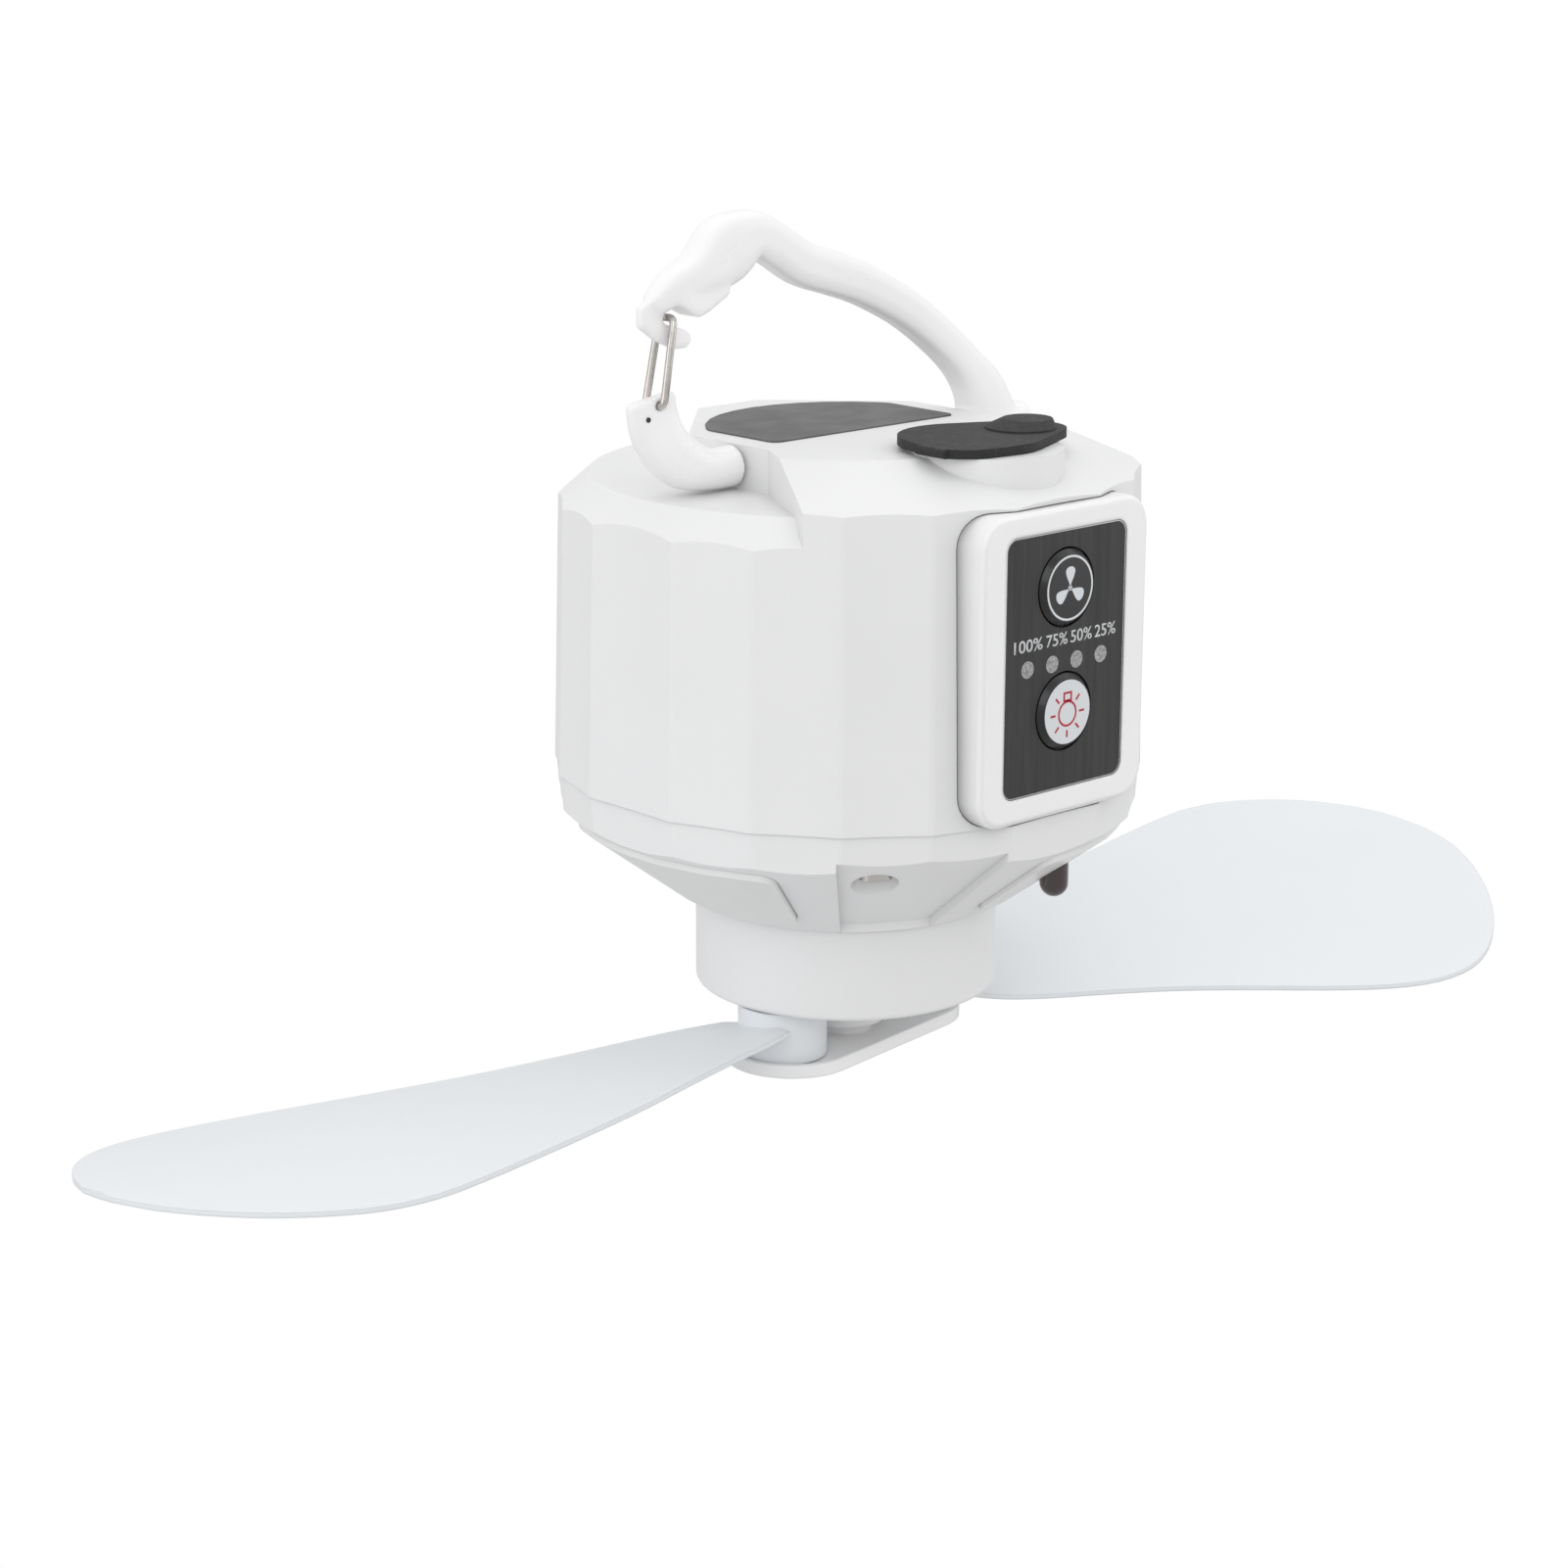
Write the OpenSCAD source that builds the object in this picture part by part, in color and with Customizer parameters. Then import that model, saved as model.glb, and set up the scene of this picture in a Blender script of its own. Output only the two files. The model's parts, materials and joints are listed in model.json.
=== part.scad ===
// Hanging camping fan: a fluted battery housing with a lamp in its underside,
// a carabiner handle that folds over the top, and a two-blade rotor whose blades fold.
// Millimetres, +Z up. The rotor turns about a vertical axis, and the origin is at the
// crown of the carabiner, where a cord or branch carries the fan.

/* [Hang point] */
// Distance of the hang point from the rotor axis, towards the gate
hang_x = 21; // [15:0.5:26]
// Height of the hang point above the drum's lower edge
hang_z = 119.5; // [118:0.5:121]

/* [Housing] */
// Radius over the flute ridges at the parting line
body_r = 47.6; // [46.5:0.1:50]
// Lean of the upper wall: how far its ridges lie further in at the foot of the top bevel
shoulder_in = 1.2; // [0.6:0.1:1.8]
// Lean of the skirt: how far its ridges lie further in at the lower edge
skirt_in = 0.7; // [0.3:0.1:1]
// Radius where the underside cone meets the drum
neck_r = 25.4; // [25:0.1:27]
// Height of the foot of the underside cone
neck_z = 15.2; // [14:0.1:16.5]
// Height of the lower edge of the skirt
skirt_z = 31.2; // [30:0.1:32.5]
// Height of the parting line between the shells
parting_z = 36.9; // [36:0.1:38]
// Height of the foot of the top bevel
shoulder_z = 85.5; // [85.3:0.1:86.5]
// Height of the top face
top_z = 91.3; // [90.5:0.1:92]
// Radius of the edge between the top face and its bevel
top_r = 31.5; // [30:0.1:33]
// Wall thickness of the shells at the bottom of a flute
wall = 2.2; // [1.8:0.1:2.6]

/* [Flutes] */
// Width of the four wide flutes, degrees
wide_flute = 22.8; // [20:0.2:26]
// Narrow flutes between two wide ones
narrow_flutes = 4; // [2:1:6]
// Hollow of a flute below the flat between its ridges
flute_hollow = 0.3; // [0.1:0.05:0.5]
// Radial height taken off each ridge to soften it
ridge_land = 0.12; // [0:0.02:0.3]

/* [Handle recesses] */
// Distance of the pivot faces from the mid-plane
pivot_face_x = 24.6; // [23:0.1:26]
// Half width of a pivot face
pivot_face_y = 7.7; // [6.5:0.1:9]
// Direction of the recess sides in plan, degrees from the pivot axis
recess_side = 60; // [55:1:65]
// Height of the recess floor
recess_z = 84.4; // [83.5:0.1:84.4]
// Distance of the raised top's back edge from the rotor axis
back_edge_y = 28.7; // [28:0.1:30]
// Half length of the raised top's back edge
back_half = 6.5; // [5:0.5:8]
// Radius of the flat part of the recess floor
recess_r = 41.4; // [40:0.1:43]
// Height at which the sloping part of the floor meets the wall
recess_edge_z = 80; // [78:0.5:82]

/* [Drum] */
// Outer radius of the motor drum
drum_r = 24.6; // [24:0.1:25]
// Wall and floor thickness of the drum
drum_wall = 2; // [1.6:0.1:2.4]
// Rounding of the drum's lower edge
drum_fillet = 1; // [0.4:0.1:1.4]

/* [Motor] */
// Radius of the motor
motor_r = 17.5; // [15:0.5:18]
// Length of the motor
motor_len = 19; // [16:0.5:21]
// Radius of the motor shaft
shaft_r = 1.5; // [1.5:0.1:2]
// Radial running clearance of shafts and pins
running = 0.05; // [0.03:0.01:0.08]

/* [Control panel] */
// Outer width of the bezel
bezel_w = 36.6; // [35:0.2:38]
// Outer height of the bezel
bezel_h = 47.8; // [46.5:0.1:47.9]
// Height of the bezel's lower edge
bezel_z = 37.3; // [37.2:0.1:37.4]
// Corner radius of the bezel
bezel_corner = 5; // [4:0.2:6]
// Depth of the bezel's face below the ridge radius
bezel_in = 0.2; // [0:0.1:0.5]
// Depth of the bezel from its face to its back
bezel_t = 6.9; // [6.6:0.1:7.2]
// Chamfer round the bezel's face
bezel_chamfer = 0.7; // [0.4:0.1:1]
// Width of the face plate
plate_w = 26.2; // [25.6:0.2:27]
// Height of the face plate
plate_h = 40; // [39:0.2:41]
// Corner radius of the face plate
plate_corner = 2; // [1.5:0.1:3]
// Thickness of the face plate
plate_t = 0.6; // [0.4:0.1:1]
// Depth of the face plate below the bezel's face
plate_sink = 0.15; // [0.05:0.05:0.3]
// Height of the fan button's centre above the centre of the plate
fan_button_up = 11.2; // [10.5:0.1:11.5]
// Height of the light button's centre below the centre of the plate
light_button_down = 8; // [7.6:0.1:8.5]
// Radius of a button at the plate
button_r = 5.9; // [5.5:0.1:6]
// Radius of a button's face
button_face_r = 5.2; // [4.8:0.1:5.4]
// Height of a button above the plate
button_rise = 0.8; // [0.7:0.05:1.1]
// Travel of a button
button_travel = 0.5; // [0.3:0.05:0.5]
// Clearance round a button
button_gap = 0.3; // [0.2:0.05:0.4]
// Radius of a charge light
dot_r = 1.35; // [1.2:0.05:1.4]
// Spacing of the charge lights
dot_pitch = 5.4; // [5:0.1:5.6]
// Height of the charge lights below the centre of the plate
dot_down = 0.35; // [0.2:0.05:0.6]

/* [Charge port] */
// Distance of the port boss from the rotor axis, towards the panel
boss_y = 30.4; // [30:0.1:31]
// Radius of the port boss
boss_r = 11.8; // [11.4:0.1:12.2]
// Height of the port boss above the top face
boss_rise = 0.7; // [0.5:0.1:1]
// Distance of the cover's grip from the mid-plane
grip_x = 11; // [10:0.5:12]
// Thickness of the rubber cover
cover_t = 1.4; // [1.2:0.1:1.6]
// Width of the charging socket
socket_w = 9; // [8.6:0.1:9.4]
// Height of the charging socket
socket_h = 3.3; // [3:0.1:3.6]

/* [Handle] */
// Height of the handle's pivot axis above the drum's lower edge
pivot_z = 88; // [87.9:0.1:88.1]
// Radius of the pivot rod
rod_r = 1.5; // [1.4:0.05:1.6]
// Radius of the handle's barrels round the rod
barrel_r = 3.3; // [3.1:0.05:3.3]
// Distance of the barrels' outer ends from the mid-plane
barrel_x = 39.4; // [38.5:0.1:40]
// Clearance between a barrel and its pivot face
barrel_gap = 0.5; // [0.3:0.1:0.8]
// Radius of the gate's wire
wire_r = 0.6; // [0.5:0.05:0.65]

/* [Rotor] */
// Distance of the blade pivots from the rotor axis
hinge_r = 16.6; // [16:0.1:17]
// Direction of the blade carrier in plan, degrees
carrier_turn = 8.6; // [0:0.2:20]
// Half width of the carrier's tray
tray_half = 10.6; // [9.8:0.1:11]
// Depth of the tray's underside below the drum
tray_drop = 10.5; // [10.2:0.1:12]
// Thickness of the tray's floor
tray_floor = 1.4; // [1.2:0.1:1.5]
// Height of the rim above the tray's floor
tray_rim = 0.8; // [0.5:0.1:1]
// Radius of a blade's hub
hub_r = 7.2; // [6.8:0.1:7.6]
// Clearance above and below a blade's hub
hub_gap = 0.3; // [0.3:0.05:0.5]
// Radius of a blade's pivot screw
pin_r = 2.5; // [2.2:0.1:2.8]

/* [Blades] */
// Length of a blade from its pivot to its tip
blade_len = 126; // [115:1:135]
// Sweep of the first blade back from the carrier's line, degrees
sweep_a = 14.2; // [10:0.2:18]
// Sweep of the second blade back from the carrier's line, degrees
sweep_b = 19.5; // [10:0.2:22]
// Thickness of a blade along its middle
blade_t = 1.5; // [1.3:0.1:1.7]
// Thickness of a blade at its edges
blade_edge_t = 0.8; // [0.6:0.1:1]

/* [Lamp] */
// Width of a lamp window in plan, degrees
window_span = 62; // [50:1:64]
// Radius of a lamp window's inner edge
window_in_r = 29; // [28:0.5:31]
// Radius of a lamp window's outer edge
window_out_r = 45; // [43:0.1:45.2]
// Clearance round a lamp window
window_gap = 0.15; // [0.1:0.05:0.2]
// Depth of the screw recesses in the underside
recess_depth = 1.5; // [1:0.1:1.8]
// Width of a screw recess in plan, degrees
screw_recess_span = 33.5; // [28:0.5:36]
// Distance of the case screws from the rotor axis
screw_r = 39.6; // [39:0.1:40]

/* [Hidden] */
$fn = 96;
eps = 0.01;

// Housing
shoulder_r = body_r - shoulder_in;
skirt_r = body_r - skirt_in;
draft = atan(shoulder_in / (shoulder_z - parting_z));
skirt_draft = 3;
wall_in = flute_depth(wide_flute) + wall;
cavity_top_r = shoulder_r - wall_in;
roof_z = recess_z - wall;
cone_slope = (skirt_z - neck_z) / (skirt_r - neck_r);
cone_wall = wall / cos(atan(cone_slope));
narrow_flute = (90 - wide_flute) / narrow_flutes;
sector_turn = 241;
sector_count = 3;
screw_turn = sector_turn - 8.6;
lip_t = 1.2;
lip_h = 1.8;
fit = 0.1;
lip_in_r = body_r - wall_in - fit - lip_t;
pocket_x = 15.5;
pocket_front_y = 17.5;
pocket_back_y = 16.5;
pocket_roof = 2.2;

// Panel
bezel_y = body_r - bezel_in;
bezel_back_y = bezel_y - bezel_t;
plate_z = bezel_z + bezel_h / 2 + 0.35;
dot_stem_r = 0.8;
dot_to_button = norm([dot_pitch / 2, light_button_down - dot_down]);
fan_button_z = plate_z + fan_button_up;
light_button_z = plate_z - light_button_down;
button_flange_r = min(button_r + 0.9, dot_to_button - dot_stem_r - 0.2);
button_flange_t = 0.9;
button_seat = 2.6;
switch_t = 1.5;
board_t = 1.6;

// Lamp
lamp_board_in = 23;
lamp_board_out = lip_in_r - 1.5;
lamp_board_z = cone_z(lamp_board_out) + cone_wall + 2.2;
post_r = 4.2;
post_at = [[22, 11], [-22, 11], [22, -8], [-22, -8]];
cradle_z = 38.4;
sensor_turn = 286;
sensor_at_r = 38;
sensor_r = 2.3;
sensor_drop = 5;

// Battery: four cells lying across the housing
cell_r = 9.2;
cell_len = 65;
cell_gap = 0.9;
cradle_t = 2;
cell_y = [-1.2, -1.2 + 2 * cell_r + cell_gap];
cell_z = [cradle_z + cradle_t + cell_r, cradle_z + cradle_t + 3 * cell_r + cell_gap];

// Screws
screw_shank_r = 1.45;
screw_head_r = 2.7;
screw_head_t = 2;
screw_len = 16;
counterbore_r = 3.65;
screw_boss_r = 4.9;
screw_seat_z = 30.5;

// Rotor
hub_top = -0.3;
tray_top = -tray_drop + tray_floor;
pin_head_r = 4.2;
pin_head_t = 1.2;
spigot_r = 6.9;
spigot_top = 1.2;
rim_t = 0.8;
tray_reach = hinge_r + hub_r + hub_gap + rim_t;

// Crown point of the handle in the fan's own coordinates becomes the origin
module hung() {
    translate([hang_x, 0, -hang_z])
        children();
}

// ---- Helpers -------------------------------------------------------------

// Depth of a flute of the given width below the ridge radius
function flute_depth(span) = body_r * (1 - cos(span / 2)) + flute_hollow;

// Height of the underside cone at radius r
function cone_z(r) = neck_z + (r - neck_r) * cone_slope;

// Point on a Catmull-Rom curve through a list of rows, t from 0 to len - 1
function row(list, i) = list[max(0, min(len(list) - 1, i))];
function spline(list, t) =
    let (i = min(floor(t), len(list) - 2), u = t - i)
    let (a = row(list, i - 1), b = row(list, i), c = row(list, i + 1), d = row(list, i + 2))
    0.5 * (2 * b + (c - a) * u + (2 * a - 5 * b + 4 * c - d) * u * u
        + (3 * b - a - 3 * c + d) * u * u * u);

// Rounded rectangle in plan, w by h, corner radius r
module rounded_rect(w, h, r) {
    hull()
        for (x = [-1, 1], y = [-1, 1])
            translate([x * (w / 2 - r), y * (h / 2 - r)])
                circle(r = r, $fn = 32);
}

// Sector in plan out to radius r, span degrees wide, centred on direction turn
module sector(r, turn, span) {
    far = r / cos(span / 2);
    polygon([
        [0, 0],
        far * [cos(turn - span / 2), sin(turn - span / 2)],
        far * [cos(turn + span / 2), sin(turn + span / 2)]
    ]);
}

// Places children on the panel, looking out along -Y, origin on the panel's mid-line
module on_panel(y, z) {
    translate([0, -y, z])
        rotate([90, 0, 0])
            children();
}

// Swept bar in the XZ plane: rows are [x, z, width, depth, roundness], where a section of
// roundness 1 is an ellipse and a smaller one is a rectangle with round corners
module swept_bar(rows, steps) {
    sides = 16;
    count = (len(rows) - 1) * steps;
    function corner(v, roundness) = sign(v) * pow(abs(v), roundness);
    function ring(k) =
        let (t = k / steps, p = spline(rows, t))
        let (q = spline(rows, min(t + 0.02, len(rows) - 1)), o = spline(rows, max(t - 0.02, 0)))
        let (dx = q[0] - o[0], dz = q[1] - o[1], n = sqrt(dx * dx + dz * dz))
        [for (s = [0 : sides - 1])
            let (a = 360 * (s + 0.5) / sides, w = corner(cos(a), p[4]) * p[2] / 2)
            [p[0] - w * dz / n, corner(sin(a), p[4]) * p[3] / 2, p[1] + w * dx / n]];
    points = [for (k = [0 : count]) each ring(k)];
    faces = [
        [for (s = [sides - 1 : -1 : 0]) s],
        [for (s = [0 : sides - 1]) count * sides + s],
        for (k = [0 : count - 1], s = [0 : sides - 1])
            let (a = k * sides + s, b = k * sides + (s + 1) % sides)
            [a, b, a + sides],
        for (k = [0 : count - 1], s = [0 : sides - 1])
            let (a = k * sides + s, b = k * sides + (s + 1) % sides)
            [b, b + sides, a + sides]
    ];
    polyhedron(points = points, faces = faces, convexity = 6);
}

// ---- Housing shells ------------------------------------------------------

// One flute cutter: a large cylinder that leans with the draft of the wall
module flute_cutter(ridge_r, at_z, span, lean) {
    chord = ridge_r * sin(span / 2);
    cutter_r = (chord * chord + flute_hollow * flute_hollow) / (2 * flute_hollow);
    depth_r = ridge_r * cos(span / 2) - flute_hollow;
    translate([depth_r + cutter_r, 0, at_z])
        rotate([0, -lean, 0])
            cylinder(r = cutter_r, h = 160, center = true, $fn = 240);
}

// All flutes round the housing
module flutes(ridge_r, at_z, lean) {
    for (quarter = [0 : 3]) {
        rotate(90 * quarter)
            flute_cutter(ridge_r, at_z, wide_flute, lean);
        for (i = [0 : narrow_flutes - 1])
            rotate(90 * quarter + wide_flute / 2 + narrow_flute * (i + 0.5))
                flute_cutter(ridge_r, at_z, narrow_flute, lean);
    }
}

// Plan of what the handle recess takes away round the raised top
module recess_plan() {
    reach = 60;
    side_x = reach * cos(recess_side);
    side_y = reach * sin(recess_side);
    shoulder_y = back_edge_y - pivot_face_x + back_half;
    difference() {
        square(4 * reach, center = true);
        polygon([
            [pivot_face_x, -pivot_face_y],
            [pivot_face_x, shoulder_y],
            [back_half, back_edge_y],
            [-back_half, back_edge_y],
            [-pivot_face_x, shoulder_y],
            [-pivot_face_x, -pivot_face_y],
            [-pivot_face_x - side_x, -pivot_face_y - side_y],
            [pivot_face_x + side_x, -pivot_face_y - side_y]
        ]);
    }
}

// Outer form of the upper shell before the flutes are cut
module upper_form() {
    difference() {
        rotate_extrude()
            polygon([
                [0, parting_z],
                [body_r - ridge_land, parting_z],
                [shoulder_r - ridge_land, shoulder_z],
                [top_r, top_z],
                [0, top_z]
            ]);
        difference() {
            translate([0, 0, recess_edge_z - 1])
                linear_extrude(30)
                    recess_plan();
            rotate_extrude()
                polygon([
                    [0, recess_edge_z - 2],
                    [body_r, recess_edge_z - 2],
                    [body_r, recess_edge_z - 1],
                    [shoulder_r, recess_edge_z],
                    [recess_r, recess_z],
                    [0, recess_z]
                ]);
        }
    }
    translate([0, -boss_y, roof_z])
        cylinder(r = boss_r, h = top_z + boss_rise - roof_z);
}

// Positions of the three case screws
module at_screws() {
    for (i = [0 : sector_count - 1])
        rotate(screw_turn + 360 * i / sector_count)
            translate([screw_r, 0, 0])
                children();
}

module upper_shell() {
    color("whitesmoke")
        hung()
            difference() {
                union() {
                    difference() {
                        upper_form();
                        flutes(body_r, parting_z, draft);
                        // Main cavity and the pocket under the top
                        rotate_extrude()
                            polygon([
                                [0, parting_z - 1],
                                [body_r - wall_in, parting_z - 1],
                                [cavity_top_r, roof_z],
                                [0, roof_z]
                            ]);
                        translate([-pocket_x, -pocket_front_y, roof_z - 1])
                            cube([2 * pocket_x, pocket_front_y + pocket_back_y,
                                top_z - pocket_roof - roof_z + 1]);
                    }
                    // Posts that take the case screws
                    intersection() {
                        at_screws()
                            translate([0, 0, parting_z])
                                cylinder(r = screw_boss_r - 1.4, h = roof_z + 1 - parting_z);
                        cylinder(r = lip_in_r - 0.3, h = top_z);
                    }
                }
                // Pilot holes for the screws
                at_screws()
                    translate([0, 0, parting_z - 1])
                        cylinder(r = screw_shank_r, h = screw_len);
                // Bore for the handle's rod
                translate([-pivot_face_x - 1, 0, pivot_z])
                    rotate([0, 90, 0])
                        cylinder(r = rod_r + running, h = 2 * pivot_face_x + 2);
                // Window for the control panel
                translate([0, -bezel_back_y + 1.5, 0])
                    rotate([90, 0, 0])
                        linear_extrude(20)
                            translate([0, bezel_z + bezel_h / 2])
                                rounded_rect(bezel_w + 2 * fit, bezel_h + 2 * fit, bezel_corner + fit);
                translate([-bezel_w / 2 + bezel_corner, -body_r - 1, parting_z - 1])
                    cube([bezel_w - 2 * bezel_corner, body_r - bezel_back_y + 2.5, 2]);
                // Opening for the charging socket
                socket_hole();
                // Sunk seat of the plate on the top face
                translate([0, 0, top_z - 0.15])
                    linear_extrude(1)
                        offset(delta = fit)
                            top_plate_plan();
            }
}

// Stadium outline of the socket, grown by the given amount
module socket_plan(grow) {
    hull()
        for (side = [-1, 1])
            translate([side * (socket_w - socket_h) / 2, 0])
                circle(r = socket_h / 2 + grow, $fn = 32);
}

module socket_hole() {
    translate([0, -boss_y, roof_z - 1])
        linear_extrude(top_z + boss_rise - roof_z + 2)
            socket_plan(0.6);
}

module lower_shell() {
    color("whitesmoke")
        hung()
            difference() {
                union() {
                    // Cone and skirt
                    difference() {
                        lower_form(0);
                        lower_cavity();
                    }
                    // Locating lip inside the upper shell
                    rotate_extrude()
                        translate([lip_in_r, parting_z - 3])
                            square([lip_t, 3 + lip_h]);
                    // Posts that carry the battery cradle and the lamp board
                    intersection() {
                        union() {
                            for (p = post_at)
                                translate([p[0], p[1], neck_z]) {
                                    cylinder(r = post_r, h = lamp_board_z - neck_z);
                                    cylinder(r = post_r - 1.4, h = cradle_z - neck_z);
                                }
                            at_screws()
                                translate([0, 0, neck_z])
                                    cylinder(r = screw_boss_r, h = parting_z - neck_z);
                        }
                        lower_form(lip_h);
                    }
                }
                // Lip gives way to the panel
                translate([-bezel_w / 2 - 1, -body_r, parting_z])
                    cube([bezel_w + 2, body_r - bezel_back_y + 3, 5]);
                // Screw recesses across the cone
                for (i = [0 : sector_count - 1])
                    intersection() {
                        difference() {
                            linear_extrude(skirt_z + recess_depth)
                                sector(2 * body_r, sector_turn + 360 * i / sector_count, screw_recess_span);
                            translate([0, 0, recess_depth])
                                cone_side();
                            cylinder(r = neck_r, h = skirt_z + recess_depth);
                        }
                        cylinder(r = 2 * body_r, h = skirt_z + recess_depth);
                    }
                // Counterbores and holes of the case screws
                at_screws() {
                    cylinder(r = counterbore_r, h = screw_seat_z);
                    cylinder(r = screw_shank_r + 0.3, h = top_z);
                }
                // Lamp windows
                linear_extrude(lamp_board_z)
                    window_plan(0);
                // Neck opening for the motor
                cylinder(r = motor_r + 1, h = 30);
            }
}

// Solid above the cone surface, without flutes
module cone_side() {
    rotate_extrude()
        polygon([
            [0, neck_z],
            [neck_r, neck_z],
            [2 * body_r, cone_z(2 * body_r)],
            [0, cone_z(2 * body_r)]
        ]);
}

// Outer form of the lower shell, with extra height above the parting line
module lower_form(extra) {
    top_ridge_r = body_r - 0.25;
    difference() {
        rotate_extrude()
            polygon([
                [0, neck_z],
                [neck_r, neck_z],
                [skirt_r - ridge_land, skirt_z],
                [top_ridge_r - ridge_land, parting_z],
                [top_ridge_r - wall_in - 0.2, parting_z],
                [top_ridge_r - wall_in - 0.2, parting_z + extra],
                [0, parting_z + extra]
            ]);
        flutes(top_ridge_r, parting_z, -skirt_draft);
    }
}

module lower_cavity() {
    rotate_extrude()
        polygon([
            [0, neck_z + wall],
            [neck_r, neck_z + cone_wall],
            [lip_in_r, cone_z(lip_in_r) + cone_wall],
            [lip_in_r, parting_z + 9],
            [0, parting_z + 9]
        ]);
}

// Plan of the lamp windows, shrunk by the given amount
module window_plan(shrink) {
    corner = 2.5;
    for (i = [0 : sector_count - 1])
        offset(r = corner - shrink, $fn = 32)
            offset(delta = -corner)
                intersection() {
                    difference() {
                        circle(r = window_out_r);
                        circle(r = window_in_r);
                    }
                    sector(2 * body_r, sector_turn + 360 * (i + 0.5) / sector_count, window_span);
                }
}

module lamp_windows() {
    window_rise = 0.9;
    color("white")
        hung()
            difference() {
                intersection() {
                    linear_extrude(lamp_board_z)
                        window_plan(window_gap);
                    translate([0, 0, -window_rise])
                        cone_side();
                }
                translate([0, 0, cone_wall + 0.15])
                    cone_side();
                rotate(sensor_turn)
                    translate([sensor_at_r, 0, 0])
                        cylinder(r = sensor_r + fit, h = top_z);
            }
}

// ---- Motor drum and motor ------------------------------------------------

module motor_drum() {
    color("whitesmoke")
        hung()
            difference() {
                rotate_extrude()
                    difference() {
                        union() {
                            square([drum_r - drum_fillet, neck_z]);
                            translate([0, drum_fillet])
                                square([drum_r, neck_z - drum_fillet]);
                            translate([drum_r - drum_fillet, drum_fillet])
                                circle(r = drum_fillet, $fn = 32);
                        }
                        translate([-1, drum_wall])
                            square([drum_r - drum_wall + 1, neck_z]);
                        square([spigot_r + 0.5, 30]);
                    }
            }
}

module motor_can() {
    color("silver")
        hung()
            difference() {
                translate([0, 0, drum_wall])
                    union() {
                        cylinder(r = motor_r, h = motor_len);
                        cylinder(r = motor_r - 9, h = motor_len + 2);
                    }
                translate([0, 0, drum_wall - 1])
                    cylinder(r = shaft_r + running, h = motor_len + 4);
            }
}

module motor_shaft() {
    color("silver")
        hung()
            translate([0, 0, tray_top])
                cylinder(r = shaft_r, h = drum_wall + motor_len + 1 - tray_top);
}

// ---- Control panel -------------------------------------------------------

module panel_bezel() {
    mid_z = bezel_z + bezel_h / 2;
    color("white")
        hung()
            difference() {
                on_panel(bezel_back_y, mid_z)
                    hull() {
                        linear_extrude(bezel_y - bezel_back_y - bezel_chamfer)
                            rounded_rect(bezel_w, bezel_h, bezel_corner);
                        linear_extrude(bezel_y - bezel_back_y)
                            rounded_rect(bezel_w - 2 * bezel_chamfer, bezel_h - 2 * bezel_chamfer,
                                bezel_corner - bezel_chamfer);
                    }
                // Sunk seat of the face plate
                on_panel(bezel_y - plate_sink - plate_t, plate_z)
                    linear_extrude(5)
                        rounded_rect(plate_w + 2 * fit, plate_h + 2 * fit, plate_corner + fit);
                // Buttons, their flanges and switches
                for (z = [fan_button_z, light_button_z]) {
                    on_panel(0, z)
                        cylinder(r = button_r + button_gap, h = top_z);
                    on_panel(0, z)
                        cylinder(r = button_flange_r + button_gap, h = bezel_y - button_seat);
                }
                // Charge lights
                at_charge_lights()
                    cylinder(r = dot_r + 0.05, h = top_z);
            }
}

module at_charge_lights() {
    for (i = [-1.5 : 1 : 1.5])
        translate([i * dot_pitch, 0, 0])
            on_panel(0, plate_z - dot_down)
                children();
}

module face_plate() {
    color([0.16, 0.16, 0.17])
        hung()
            difference() {
                on_panel(bezel_y - plate_sink - plate_t, plate_z)
                    linear_extrude(plate_t)
                        rounded_rect(plate_w, plate_h, plate_corner);
                for (z = [fan_button_z, light_button_z])
                    on_panel(0, z)
                        cylinder(r = button_r + button_gap, h = top_z);
                at_charge_lights()
                    cylinder(r = dot_r + 0.05, h = top_z);
            }
}

module charge_lights() {
    color("lightgrey")
        hung()
            at_charge_lights() {
                translate([0, 0, bezel_y - button_seat + 0.1])
                    cylinder(r = dot_r, h = button_seat - plate_sink - 0.1);
                // Narrow stem towards the board
                translate([0, 0, bezel_back_y])
                    cylinder(r = dot_stem_r, h = bezel_t - button_seat + 0.2);
            }
}

// Button with a conical flank, a captive flange and a stem towards its switch
module button(z) {
    face_y = bezel_y - plate_sink + button_rise;
    flange_y = bezel_y - button_seat - button_gap;
    stem_end = bezel_back_y + switch_t + 0.3 + button_travel + 0.3;
    hung()
        translate([0, 0, z])
            rotate([90, 0, 0])
                rotate_extrude()
                    polygon([
                        [0, stem_end],
                        [2, stem_end],
                        [2, flange_y - button_flange_t],
                        [button_flange_r, flange_y - button_flange_t],
                        [button_flange_r, flange_y],
                        [button_r, flange_y],
                        [button_r, face_y - button_rise],
                        [button_face_r, face_y],
                        [0, face_y]
                    ]);
}

module fan_button() {
    color([0.13, 0.13, 0.14])
        button(fan_button_z);
}

module light_button() {
    color([0.13, 0.13, 0.14])
        button(light_button_z);
}

module control_board() {
    board_w = 26;
    board_h = 40;
    color("darkgreen")
        hung()
            on_panel(bezel_back_y - board_t, plate_z)
                linear_extrude(board_t)
                    square([board_w, board_h], center = true);
}

module board_switches() {
    side = 6;
    color("dimgrey")
        hung()
            for (z = [fan_button_z, light_button_z])
                on_panel(bezel_back_y, z) {
                    linear_extrude(switch_t)
                        square(side, center = true);
                    cylinder(r = 1.6, h = switch_t + 0.3);
                }
}

// ---- Battery -------------------------------------------------------------

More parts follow.
